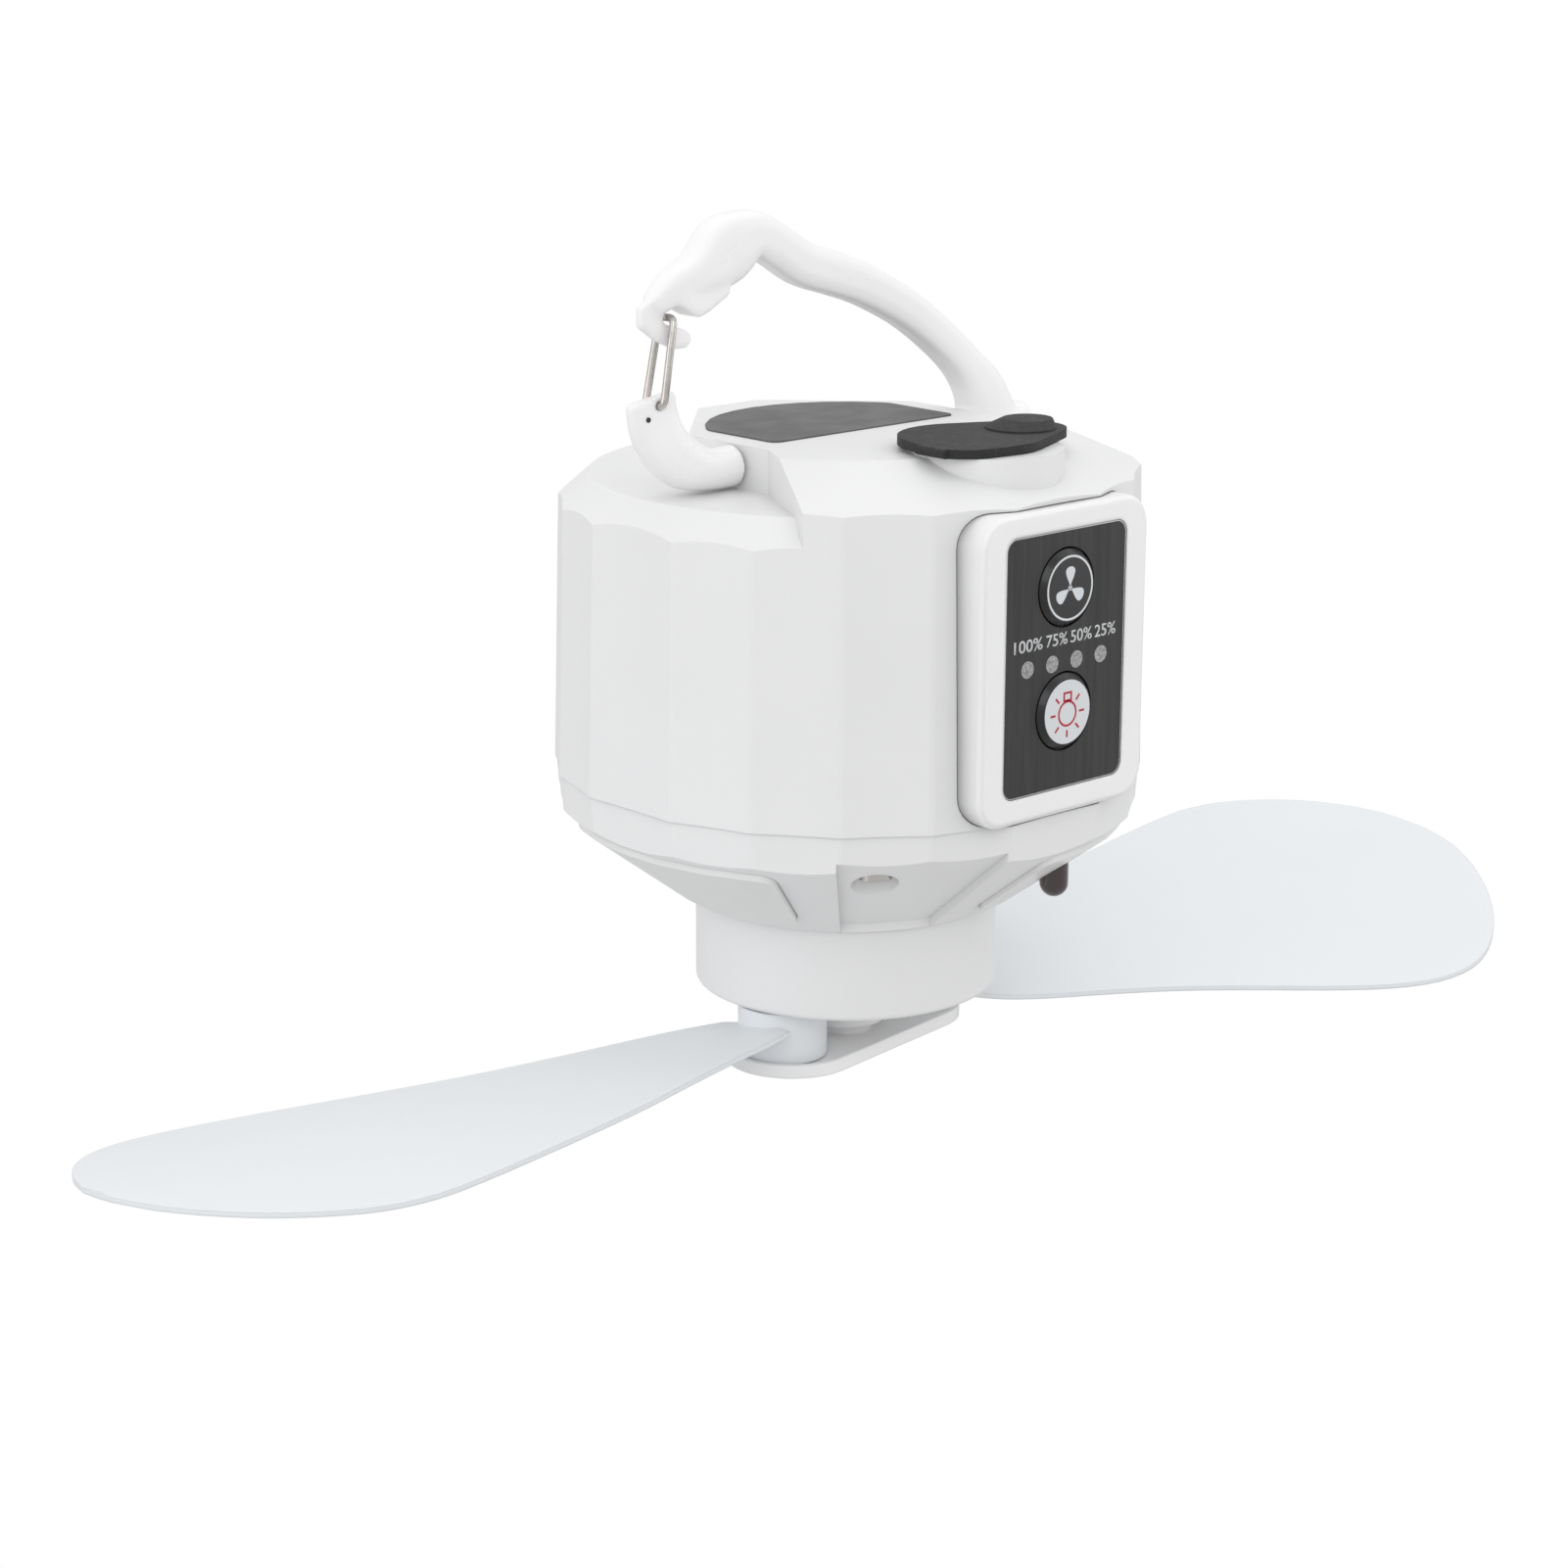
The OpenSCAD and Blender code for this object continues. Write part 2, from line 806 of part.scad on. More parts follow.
module battery_cells() {
    color("steelblue")
        hung()
            for (y = cell_y, z = cell_z)
                translate([-cell_len / 2, y, z])
                    rotate([0, 90, 0])
                        cylinder(r = cell_r - fit, h = cell_len);
}

module battery_cradle() {
    reach_x = 27;
    side_t = 2.4;
    web_t = 3;
    front_y = cell_y[0] - cell_r - side_t;
    back_y = cell_y[1] + cell_r + side_t;
    color("dimgrey")
        hung()
            difference() {
                union() {
                    translate([-reach_x, front_y, cradle_z])
                        cube([2 * reach_x, back_y - front_y, 2 * cradle_t]);
                    for (side = [-1, 1])
                        translate([side * 18 - web_t / 2, front_y, cradle_z])
                            cube([web_t, back_y - front_y, cell_z[1] - cradle_z]);
                }
                for (y = cell_y, z = cell_z)
                    translate([-cell_len, y, z])
                        rotate([0, 90, 0])
                            cylinder(r = cell_r, h = 2 * cell_len);
            }
}

// ---- Top plate, charge port and cover ------------------------------------

// Plan of the plate on the top face: straight front, round back
module top_plate_plan() {
    plate_x = 19.8;
    front_y = -4;
    arc_r = 22.8;
    corner = 1.6;
    offset(r = corner, $fn = 32)
        offset(delta = -corner)
            intersection() {
                circle(r = arc_r);
                translate([-plate_x, front_y])
                    square([2 * plate_x, 2 * arc_r]);
            }
}

module top_plate() {
    color([0.22, 0.22, 0.23])
        hung()
            translate([0, 0, top_z - 0.15])
                linear_extrude(0.35)
                    top_plate_plan();
}

module charge_socket() {
    depth = top_z + boss_rise - 0.8 - roof_z;
    color("silver")
        hung()
            translate([0, -boss_y, roof_z])
                difference() {
                    linear_extrude(depth)
                        socket_plan(0.4);
                    translate([0, 0, 1])
                        linear_extrude(depth)
                            socket_plan(0);
                }
}

module socket_board() {
    color("darkgreen")
        hung()
            translate([-8, -boss_y - 6, roof_z - board_t])
                cube([16, 12, board_t]);
}

hinge_bead_x = -13.2;
grip_back = 2.3;

// Plan of the rubber cover: a round pad, with its hinge at the left and its grip at the right
module cover_plan() {
    hull() {
        translate([hinge_bead_x + 6.6, -boss_y - 1.1])
            circle(r = 6.8);
        translate([-1, -boss_y + 2.6])
            circle(r = 11.3);
        translate([grip_x, -boss_y + grip_back])
            circle(r = 6.2);
    }
}

module port_cover() {
    seat_z = top_z + boss_rise;
    plug_t = 2;
    grip_h = 1.4;
    color([0.1, 0.1, 0.1])
        hung() {
            translate([0, 0, seat_z + 0.05])
                linear_extrude(cover_t)
                    cover_plan();
            translate([0, -boss_y, seat_z - plug_t])
                linear_extrude(plug_t + 0.1)
                    socket_plan(-0.35);
            // Rolled bead that the cover turns on
            translate([hinge_bead_x, -boss_y - 4.1, seat_z + 0.05 + cover_t / 2])
                rotate([-90, 0, 0])
                    cylinder(r = cover_t / 2, h = 6);
            // Finger grip at the free end
            translate([grip_x - 1.4, -boss_y + grip_back, seat_z + cover_t - 0.1])
                hull() {
                    cylinder(r = 5.6, h = 0.4, $fn = 32);
                    translate([2.2, 0.6, 0])
                        cylinder(r = 3.9, h = grip_h, $fn = 32);
                }
        }
}

// ---- Lamp ----------------------------------------------------------------

module lamp_board() {
    color("honeydew")
        hung()
            difference() {
                translate([0, 0, lamp_board_z])
                    difference() {
                        cylinder(r = lamp_board_out, h = board_t);
                        translate([0, 0, -1])
                            cylinder(r = lamp_board_in, h = board_t + 2);
                    }
                for (p = post_at)
                    translate([p[0], p[1], 0])
                        cylinder(r = post_r - 1.4 + fit, h = top_z);
                at_screws()
                    cylinder(r = screw_boss_r + 0.2, h = top_z);
            }
}

module lamp_leds() {
    led = [2.8, 3.5, 0.9];
    led_in_r = (lamp_board_in + lamp_board_out - led[0]) / 2;
    per_window = 5;
    color("lightyellow")
        hung()
            for (i = [0 : sector_count - 1], k = [0 : per_window - 1])
                rotate(sector_turn + 360 * (i + 0.5) / sector_count + 9.5 * (k - (per_window - 1) / 2))
                    translate([led_in_r, -led[1] / 2, lamp_board_z - led[2]])
                        cube(led);
}

module remote_sensor() {
    tip_z = cone_z(sensor_at_r) - sensor_drop;
    color([0.2, 0.18, 0.18])
        hung()
            rotate(sensor_turn)
                translate([sensor_at_r, 0, 0])
                    rotate_extrude($fn = 48) {
                        intersection() {
                            translate([0, tip_z + sensor_r])
                                circle(r = sensor_r);
                            translate([0, tip_z])
                                square([sensor_r, sensor_r]);
                        }
                        translate([0, tip_z + sensor_r])
                            square([sensor_r, lamp_board_z - tip_z - sensor_r]);
                        translate([0, lamp_board_z - 1])
                            square([sensor_r + 0.4, 1]);
                    }
}

module case_screws() {
    color("silver")
        hung()
            at_screws()
                translate([0, 0, screw_seat_z]) {
                    translate([0, 0, -screw_head_t])
                        cylinder(r = screw_head_r, h = screw_head_t);
                    cylinder(r = screw_shank_r, h = screw_len - 2);
                }
}

// ---- Handle --------------------------------------------------------------

module pivot_rod() {
    color("silver")
        hung()
            translate([-barrel_x + 2, 0, pivot_z])
                rotate([0, 90, 0])
                    cylinder(r = rod_r, h = 2 * barrel_x - 4);
}

module rod_bore() {
    translate([-barrel_x + 2, 0, pivot_z])
        rotate([0, 90, 0])
            cylinder(r = rod_r, h = 2 * barrel_x - 4);
}

// Arm that rises from the right barrel, arches over and ends in the nose
module hook_arm() {
    rows = [
        [-41.3, 113.9, 3.4, 3.2, 0.6],
        [-37.4, 116.2, 5.6, 4.8, 0.6],
        [-32.6, 118.0, 6.8, 6.0, 0.6],
        [-28.6, 120.2, 10.2, 6.2, 0.6],
        [-25.4, 121.9, 10.4, 6.4, 0.6],
        [-21.4, 123.2, 7.4, 6.4, 0.6],
        [-16.9, 121.3, 6.9, 6.4, 0.6],
        [-11.0, 117.9, 7.0, 6.4, 0.6],
        [-4.2, 115.8, 7.0, 6.4, 0.6],
        [2.5, 113.4, 6.6, 6.4, 0.6],
        [11.3, 109.1, 6.2, 6.4, 0.6],
        [18.9, 104.0, 5.9, 6.6, 0.6],
        [25.2, 98.8, 6.2, 6.6, 0.6],
        [29.4, 93.8, 8.8, 6.4, 0.6],
        [31.6, 87.4, 12.4, 6.0, 0.6]
    ];
    color("whitesmoke")
        hung()
            difference() {
                union() {
                    swept_bar(rows, 3);
                    translate([pivot_face_x + barrel_gap, 0, pivot_z])
                        rotate([0, 90, 0])
                            cylinder(r = barrel_r, h = barrel_x - pivot_face_x - barrel_gap);
                    nose_plate(2 * lip_half)
                        polygon(lip_outline);
                    nose_plate(2 * nose_half)
                        polygon(nose_outline);
                }
                rod_bore();
            }
}

// Flat part of the nose, t thick, with its corners rounded
module nose_plate(t) {
    corner = 0.6;
    translate([0, t / 2, 0])
        rotate([90, 0, 0])
            linear_extrude(t)
                offset(r = corner, $fn = 16)
                    offset(delta = -corner)
                        children();
}

// Fixed foot of the carabiner on the left barrel, which carries the gate
module gate_base() {
    rows = [
        [-pivot_face_x - barrel_gap, pivot_z, 2 * barrel_r, 2 * barrel_r, 1],
        [-30, pivot_z, 2 * barrel_r, 2 * barrel_r, 1],
        [-34.8, 89.4, 8.2, 6.0, 0.85],
        [-38.6, 92.2, 8.6, 5.0, 0.7],
        [-40.9, 96.0, 9.2, 3.3, 0.6],
        [-41.6, 100.2, 9.2, 2.5, 0.5]
    ];
    color("whitesmoke")
        hung()
            difference() {
                swept_bar(rows, 4);
                rod_bore();
                gate_pin_hole();
            }
}

gate_pin = [-40.7, 99];
gate_top = [-38.2, 112];
base_half = 1.35;
lip_half = 0.8;
nose_half = 2.6;
gate_low_half = base_half + wire_r + 0.15;
gate_high_half = lip_half + wire_r + 0.25;

// Hook under the nose: a closed notch for the gate's bar, with a round nub below it
lip_outline = [
    [-43.9, 114], [-43.9, 110.9], [-40.6, 108.6], [-37.2, 107.1], [-34.8, 107], [-33.6, 108.3],
    [-34.2, 109.5], [-35.8, 110.2], [-37.2, 110.6], [-38.6, 111], [-39.4, 111.4], [-39.4, 112.6],
    [-38.4, 113.1], [-34, 114.4], [-37, 117]
];

// Thick corner of the arm above the notch
nose_outline = [
    [-37, 113.6], [-35.2, 112.5], [-33.6, 111.7], [-31.6, 112.4], [-27, 115], [-30, 119],
    [-36.4, 116.6]
];

module gate_pin_hole() {
    translate([gate_pin[0], -5, gate_pin[1]])
        rotate([-90, 0, 0])
            cylinder(r = wire_r + running, h = 10, $fn = 32);
    // Small blind hole beside the foot of the front wire
    translate([gate_pin[0] - 2.5, -base_half - 1, gate_pin[1] - 1.8])
        rotate([-90, 0, 0])
            cylinder(r = 0.4, h = 1.8, $fn = 24);
}

// Unit vector along v
function unit(v) = v / norm(v);

// Points round the corner at b of the path a, b, c, starting r before it
function bend(a, b, c, r) =
    let (p = b + r * unit(a - b), q = b + r * unit(c - b))
    [for (t = [0 : 0.25 : 1]) (1 - t) * (1 - t) * p + 2 * t * (1 - t) * b + t * t * q];

// Round wire along a path in the XY plane
module wire_along(path) {
    sides = 12;
    last = len(path) - 1;
    function ring(k) =
        let (d = unit(path[min(k + 1, last)] - path[max(k - 1, 0)]))
        [for (s = [0 : sides - 1])
            let (a = 360 * s / sides, w = wire_r * cos(a))
            [path[k][0] - w * d[1], path[k][1] + w * d[0], -wire_r * sin(a)]];
    points = [for (k = [0 : last]) each ring(k)];
    faces = [
        [for (s = [sides - 1 : -1 : 0]) s],
        [for (s = [0 : sides - 1]) last * sides + s],
        for (k = [0 : last - 1], s = [0 : sides - 1])
            let (a = k * sides + s, b = k * sides + (s + 1) % sides)
            [a, b, a + sides],
        for (k = [0 : last - 1], s = [0 : sides - 1])
            let (a = k * sides + s, b = k * sides + (s + 1) % sides)
            [b, b + sides, a + sides]
    ];
    polyhedron(points = points, faces = faces, convexity = 4);
}

// One wire bent into a U, with its two feet turned into the base
module wire_gate() {
    foot_end = 0.5;
    bend_r = 1.1;
    rise = norm(gate_top - gate_pin);
    low_l = [-gate_low_half, 0];
    low_r = [gate_low_half, 0];
    high_l = [-gate_high_half, rise];
    high_r = [gate_high_half, rise];
    path = [
        [-foot_end, 0],
        each bend([-foot_end, 0], low_l, high_l, bend_r),
        each bend(low_l, high_l, high_r, bend_r),
        each bend(high_l, high_r, low_r, bend_r),
        each bend(high_r, low_r, [foot_end, 0], bend_r),
        [foot_end, 0]
    ];
    lean = unit(gate_top - gate_pin);
    color("silver")
        hung()
            translate([gate_pin[0], 0, gate_pin[1]])
                multmatrix([
                    [0, lean[0], lean[1], 0],
                    [1, 0, 0, 0],
                    [0, lean[1], -lean[0], 0],
                    [0, 0, 0, 1]
                ])
                    wire_along(path);
}

// ---- Rotor ---------------------------------------------------------------

// Places children at the pivot of blade 0 or 1
module at_hinge(which) {
    rotate(carrier_turn + 180 * (1 - which))
        translate([hinge_r, 0, 0])
            children();
}

module tray_plan(shrink) {
    hull()
        for (which = [0, 1])
            rotate(carrier_turn + 180 * which)
                translate([tray_reach - tray_half, 0])
                    circle(r = tray_half - shrink);
}

module blade_carrier() {
    color("white")
        hung()
            difference() {
                union() {
                    translate([0, 0, -tray_drop])
                        linear_extrude(tray_floor)
                            tray_plan(0);
                    translate([0, 0, tray_top - eps])
                        linear_extrude(tray_rim)
                            difference() {
                                tray_plan(0);
                                tray_plan(rim_t);
                            }
                    // Boss on the motor shaft
                    translate([0, 0, tray_top - eps])
                        cylinder(r = 4.4, h = spigot_top - tray_top);
                    translate([0, 0, hub_top - 7])
                        cylinder(r = spigot_r - 0.5, h = spigot_top - hub_top + 7);
                    for (which = [0, 1])
                        at_hinge(which)
                            translate([0, 0, -tray_drop])
                                cylinder(r = pin_r + 1.6, h = tray_floor + hub_gap - running);
                }
                translate([0, 0, tray_top])
                    cylinder(r = shaft_r, h = 40);
                for (which = [0, 1])
                    at_hinge(which)
                        translate([0, 0, -tray_drop - 1])
                            cylinder(r = 1.2, h = 20);
            }
}

// Shoulder screws that the blades turn on
module blade_screws() {
    color("silver")
        hung()
            for (which = [0, 1])
                at_hinge(which) {
                    translate([0, 0, tray_top + hub_gap])
                        cylinder(r = pin_r, h = hub_top - pin_head_t - tray_top - hub_gap);
                    translate([0, 0, hub_top - pin_head_t])
                        cylinder(r = pin_head_r, h = pin_head_t - 0.1);
                    translate([0, 0, -tray_drop + 0.2])
                        cylinder(r = 1.2, h = tray_floor + 1);
                }
}

// Blade outline: rows are [distance from the pivot, trailing edge, leading edge]
blade_rows = [
    [0.040, -9.6, 8.5],
    [0.090, -12.6, 11.4],
    [0.150, -14.6, 14.2],
    [0.250, -16.9, 19.4],
    [0.350, -19.7, 24.8],
    [0.450, -23.6, 29.6],
    [0.550, -28.0, 34.2],
    [0.640, -31.4, 38.2],
    [0.720, -32.8, 41.0],
    [0.790, -31.6, 41.0],
    [0.850, -27.6, 38.2],
    [0.905, -21.0, 33.6],
    [0.950, -12.8, 27.4],
    [0.982, -4.4, 20.4],
    [1.000, 3.4, 12.0]
];

// Height of a blade's middle surface at distance s from the pivot and offset v
function blade_z(s, v) =
    -2.97 - 2.86 * s / 100 + 1.86 * v / 10 + 2.56 * s * s / 10000 - 1.68 * v * v / 900
        - 0.45 * (1 + cos(180 * max(0, min(1, (s - 40) / 75))));

module blade_skin() {
    steps = 3;
    across = 12;
    stations = (len(blade_rows) - 1) * steps;
    // Points on the upper (side 1) or lower (side -1) skin, one row of them per station
    function skin(k, side) =
        let (r = spline(blade_rows, k / steps), s = r[0] * blade_len)
        [for (j = [0 : across])
            let (u = (1 - cos(180 * j / across)) / 2, v = r[1] + (r[2] - r[1]) * u)
            let (rim = min(1, 4 * u * (1 - u)) * sin(min(90, 900 * (1.02 - r[0]))))
            [s, v, blade_z(s, v) + side * (blade_edge_t + (blade_t - blade_edge_t) * rim) / 2]];
    n = across + 1;
    low = (stations + 1) * n;
    points = [
        for (k = [0 : stations]) each skin(k, 1),
        for (k = [0 : stations]) each skin(k, -1)
    ];
    faces = [
        for (k = [0 : stations - 1], j = [0 : across - 1]) let (a = k * n + j) [a, a + 1, a + n + 1],
        for (k = [0 : stations - 1], j = [0 : across - 1]) let (a = k * n + j) [a, a + n + 1, a + n],
        for (k = [0 : stations - 1], j = [0 : across - 1]) let (a = low + k * n + j) [a, a + n + 1, a + 1],
        for (k = [0 : stations - 1], j = [0 : across - 1]) let (a = low + k * n + j) [a, a + n, a + n + 1],
        for (k = [0 : stations - 1]) let (a = k * n) [a, a + n, low + a + n],
        for (k = [0 : stations - 1]) let (a = k * n) [a, low + a + n, low + a],
        for (k = [0 : stations - 1]) let (a = k * n + across) [a + n, a, low + a],
        for (k = [0 : stations - 1]) let (a = k * n + across) [a + n, low + a, low + a + n],
        [for (j = [0 : across]) low + j, for (j = [across : -1 : 0]) j],
        [for (j = [0 : across]) stations * n + j, for (j = [across : -1 : 0]) low + stations * n + j]
    ];
    polyhedron(points = points, faces = faces, convexity = 6);
}

// Blade with its hub about the origin, pointing along +X, leading edge towards +Y
module blade() {
    hub_h = hub_top - tray_top - hub_gap;
    difference() {
        union() {
            blade_skin();
            translate([0, 0, tray_top + hub_gap])
                cylinder(r = hub_r, h = hub_h);
        }
        translate([0, 0, tray_top])
            cylinder(r = pin_r + running, h = 20);
        translate([0, 0, hub_top - pin_head_t - hub_gap])
            cylinder(r = pin_head_r + hub_gap, h = 5);
    }
}

module blade_a() {
    color("white")
        hung()
            at_hinge(0)
                rotate(-sweep_a)
                    blade();
}

module blade_b() {
    color("white")
        hung()
            at_hinge(1)
                rotate(-sweep_b)
                    blade();
}

upper_shell();
lower_shell();
motor_drum();
panel_bezel();
face_plate();
charge_lights();
control_board();
board_switches();
battery_cells();
battery_cradle();
top_plate();
charge_socket();
socket_board();
lamp_windows();
lamp_board();
lamp_leds();
remote_sensor();
case_screws();
motor_can();
motor_shaft();
blade_carrier();
blade_screws();
blade_a();
blade_b();
pivot_rod();
hook_arm();
gate_base();
wire_gate();
fan_button();
light_button();
port_cover();
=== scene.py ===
import bpy
import bmesh
import json
import math
from mathutils import Matrix, Vector


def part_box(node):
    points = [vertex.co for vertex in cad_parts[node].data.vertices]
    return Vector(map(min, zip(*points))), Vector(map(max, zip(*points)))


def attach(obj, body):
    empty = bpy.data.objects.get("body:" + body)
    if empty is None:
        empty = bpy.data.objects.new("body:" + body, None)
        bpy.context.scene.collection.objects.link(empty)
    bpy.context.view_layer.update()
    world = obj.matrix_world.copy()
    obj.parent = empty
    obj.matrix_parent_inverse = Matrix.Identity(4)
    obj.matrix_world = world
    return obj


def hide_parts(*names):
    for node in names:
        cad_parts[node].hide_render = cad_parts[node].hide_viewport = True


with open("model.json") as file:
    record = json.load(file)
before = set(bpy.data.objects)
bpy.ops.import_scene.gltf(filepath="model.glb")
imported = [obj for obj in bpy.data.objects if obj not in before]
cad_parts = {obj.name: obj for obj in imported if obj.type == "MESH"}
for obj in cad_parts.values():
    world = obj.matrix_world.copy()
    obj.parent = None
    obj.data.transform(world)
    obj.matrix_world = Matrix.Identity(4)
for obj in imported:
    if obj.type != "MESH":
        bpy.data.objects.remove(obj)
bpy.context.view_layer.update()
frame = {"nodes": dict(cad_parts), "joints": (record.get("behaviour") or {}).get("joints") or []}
NODES = frame["nodes"]

# Blender works in metres. Most lengths here are written in millimetres, times MM.
MM = 0.001


def add_object(name, data):
    """A new object in the scene."""
    added = bpy.data.objects.new(name, data)
    bpy.context.scene.collection.objects.link(added)
    return added


# ---------------------------------------------------------------- camera

# The camera that was fitted to the photograph. It stands at CAMERA_PLACE in metres and looks along
# CAMERA_TURN degrees from +X, tipped down by CAMERA_PITCH and rolled by CAMERA_ROLL.
CAMERA_PLACE = (-0.36979, -0.40499, 0.06667)
CAMERA_TURN = 47.06
CAMERA_PITCH = 15.28
CAMERA_ROLL = 0.17
PHOTO_WIDTH_PX = 1601.0
FOCAL_LENGTH_PX = 3660.0
SENSOR_WIDTH = 36.0
NEAREST = 0.01
FARTHEST = 100.0


def make_camera():
    turn = math.radians(CAMERA_TURN)
    pitch = math.radians(CAMERA_PITCH)
    roll = math.radians(CAMERA_ROLL)
    flat = math.cos(pitch)
    rise = math.sin(pitch)
    forward = Vector((math.cos(turn) * flat, math.sin(turn) * flat, -rise))
    level_right = Vector((math.sin(turn), -math.cos(turn), 0.0))
    level_up = Vector((math.cos(turn) * rise, math.sin(turn) * rise, flat))
    right = level_right * math.cos(roll) + level_up * math.sin(roll)
    up = level_up * math.cos(roll) - level_right * math.sin(roll)
    data = bpy.data.cameras.new("camera")
    data.sensor_fit = "HORIZONTAL"
    data.sensor_width = SENSOR_WIDTH
    data.lens = SENSOR_WIDTH * FOCAL_LENGTH_PX / PHOTO_WIDTH_PX
    data.clip_start = NEAREST
    data.clip_end = FARTHEST
    camera = add_object("camera", data)
    rotation = Matrix((right, up, -forward)).transposed()
    camera.matrix_world = Matrix.Translation(CAMERA_PLACE) @ rotation.to_4x4()
    bpy.context.scene.camera = camera


make_camera()


# ---------------------------------------------------------------- material tools

OPAQUE = (1,)
# The factor of a noise texture seldom leaves this span.
NOISE_LOW = 0.3
NOISE_HIGH = 0.7
# For the painted shade in hollows: the share of its surroundings that a hollow spot sees, and that an open
# face sees.
HOLLOW_VIEW = 0.6
OPEN_VIEW = 0.95
HOLLOW_SAMPLES = 8
BEVEL_SAMPLES = 6
# The sockets of a Mix node that is set to mix colours.
MIX_FIRST = 6
MIX_SECOND = 7
MIX_RESULT = 2


class MaterialBuilder:
    """Builds one procedural material round its Principled shader."""

    def __init__(self, name):
        self.material = bpy.data.materials.new(name)
        self.material.use_nodes = True
        self.tree = self.material.node_tree
        self.shader = self.tree.nodes["Principled BSDF"]

    def set(self, **values):
        """Set the shader's own sockets. An underscore stands for a space in a socket's name."""
        for key, value in values.items():
            self.shader.inputs[key.replace("_", " ")].default_value = value

    def node(self, kind, **settings):
        node = self.tree.nodes.new(kind)
        for key, value in settings.items():
            setattr(node, key, value)
        return node

    def link(self, output, socket):
        self.tree.links.new(output, socket)

    def feed(self, output, socket_name):
        """Lead a node's output into one of the shader's sockets."""
        self.link(output, self.shader.inputs[socket_name])

    def place(self, scale=(1, 1, 1)):
        """The place on the object that a texture is read at. A small scale draws it out along that axis."""
        source = self.node("ShaderNodeTexCoord")
        mapping = self.node("ShaderNodeMapping")
        mapping.inputs["Scale"].default_value = scale
        self.link(source.outputs["Object"], mapping.inputs["Vector"])
        return mapping.outputs["Vector"]

    def noise(self, place, scale, detail, rough=0.55):
        node = self.node("ShaderNodeTexNoise")
        node.inputs["Scale"].default_value = scale
        node.inputs["Detail"].default_value = detail
        node.inputs["Roughness"].default_value = rough
        self.link(place, node.inputs["Vector"])
        return node.outputs["Fac"]

    def ramp(self, factor, *stops):
        """A colour ramp. Each stop is a position and a colour."""
        node = self.node("ShaderNodeValToRGB")
        elements = node.color_ramp.elements
        elements[0].position, elements[0].color = stops[0]
        elements[1].position, elements[1].color = stops[-1]
        for position, color in stops[1:-1]:
            elements.new(position).color = color
        self.link(factor, node.inputs["Fac"])
        return node.outputs["Color"]

    def spread(self, factor, low, high, start=NOISE_LOW, stop=NOISE_HIGH):
        """A value from low to high, as the factor goes from start to stop."""
        node = self.node("ShaderNodeMapRange")
        node.inputs["From Min"].default_value = start
        node.inputs["From Max"].default_value = stop
        node.inputs["To Min"].default_value = low
        node.inputs["To Max"].default_value = high
        self.link(factor, node.inputs["Value"])
        return node.outputs["Result"]

    def maths(self, operation, *values):
        """A Math node. Each value is a number or another node's output."""
        node = self.node("ShaderNodeMath", operation=operation)
        for socket, value in zip(node.inputs, values):
            if isinstance(value, float):
                socket.default_value = value
            else:
                self.link(value, socket)
        return node.outputs["Value"]

    def corners(self, color, amount, reach):
        """Painted shade: the colour, darkened by up to this amount where other surfaces are within reach, as
        shade falls in hollows.
        """
        view = self.node("ShaderNodeAmbientOcclusion", samples=HOLLOW_SAMPLES)
        view.inputs["Distance"].default_value = reach
        keep = self.spread(view.outputs["AO"], 1.0 - amount, 1.0, start=HOLLOW_VIEW, stop=OPEN_VIEW)
        grey = self.node("ShaderNodeCombineColor")
        for channel in ("Red", "Green", "Blue"):
            self.link(keep, grey.inputs[channel])
        mix = self.node("ShaderNodeMix", data_type="RGBA", blend_type="MULTIPLY")
        mix.inputs["Factor"].default_value = 1.0
        self.link(color, mix.inputs[MIX_FIRST])
        self.link(grey.outputs["Color"], mix.inputs[MIX_SECOND])
        return mix.outputs[MIX_RESULT]

    def bump(self, height, strength, distance, edge=0.0):
        """Relief of this height. edge is the radius to which the object's edges look rounded."""
        node = self.node("ShaderNodeBump")
        node.inputs["Strength"].default_value = strength
        node.inputs["Distance"].default_value = distance
        self.link(height, node.inputs["Height"])
        if edge:
            bevel = self.node("ShaderNodeBevel", samples=BEVEL_SAMPLES)
            bevel.inputs["Radius"].default_value = edge
            self.link(bevel.outputs["Normal"], node.inputs["Normal"])
        self.feed(node.outputs["Normal"], "Normal")


# ---------------------------------------------------------------- plastics and metals

# Scales of the noise in plastic: faint flow marks, changes of gloss, and fine grain.
FLOW_SCALE = 38
GLOSS_SCALE = 160
GRAIN_SCALE = 2600
GRAIN_DEPTH = 0.1 * MM
# A flow mark's light side departs from the colour by this share of what its dark side does.
LIGHT_SHARE = 0.6
GLOSSIER = 0.04
DULLER = 0.05
PLASTIC_IOR = 1.46
SCATTER_RADIUS = (1.0, 0.75, 0.6)
SCATTER_SCALE = 2.5 * MM
COAT_ROUGHNESS = 0.12

# The patches in a metal's colour: their scale, how much darker they are, and where the ramp turns.
PATCH_SCALE = 420
PATCH_SHADE = 0.06
PATCH_DARK = 0.35
PATCH_LIGHT = 0.65
LINE_STRENGTH = 0.08
LINE_DEPTH = 0.04 * MM


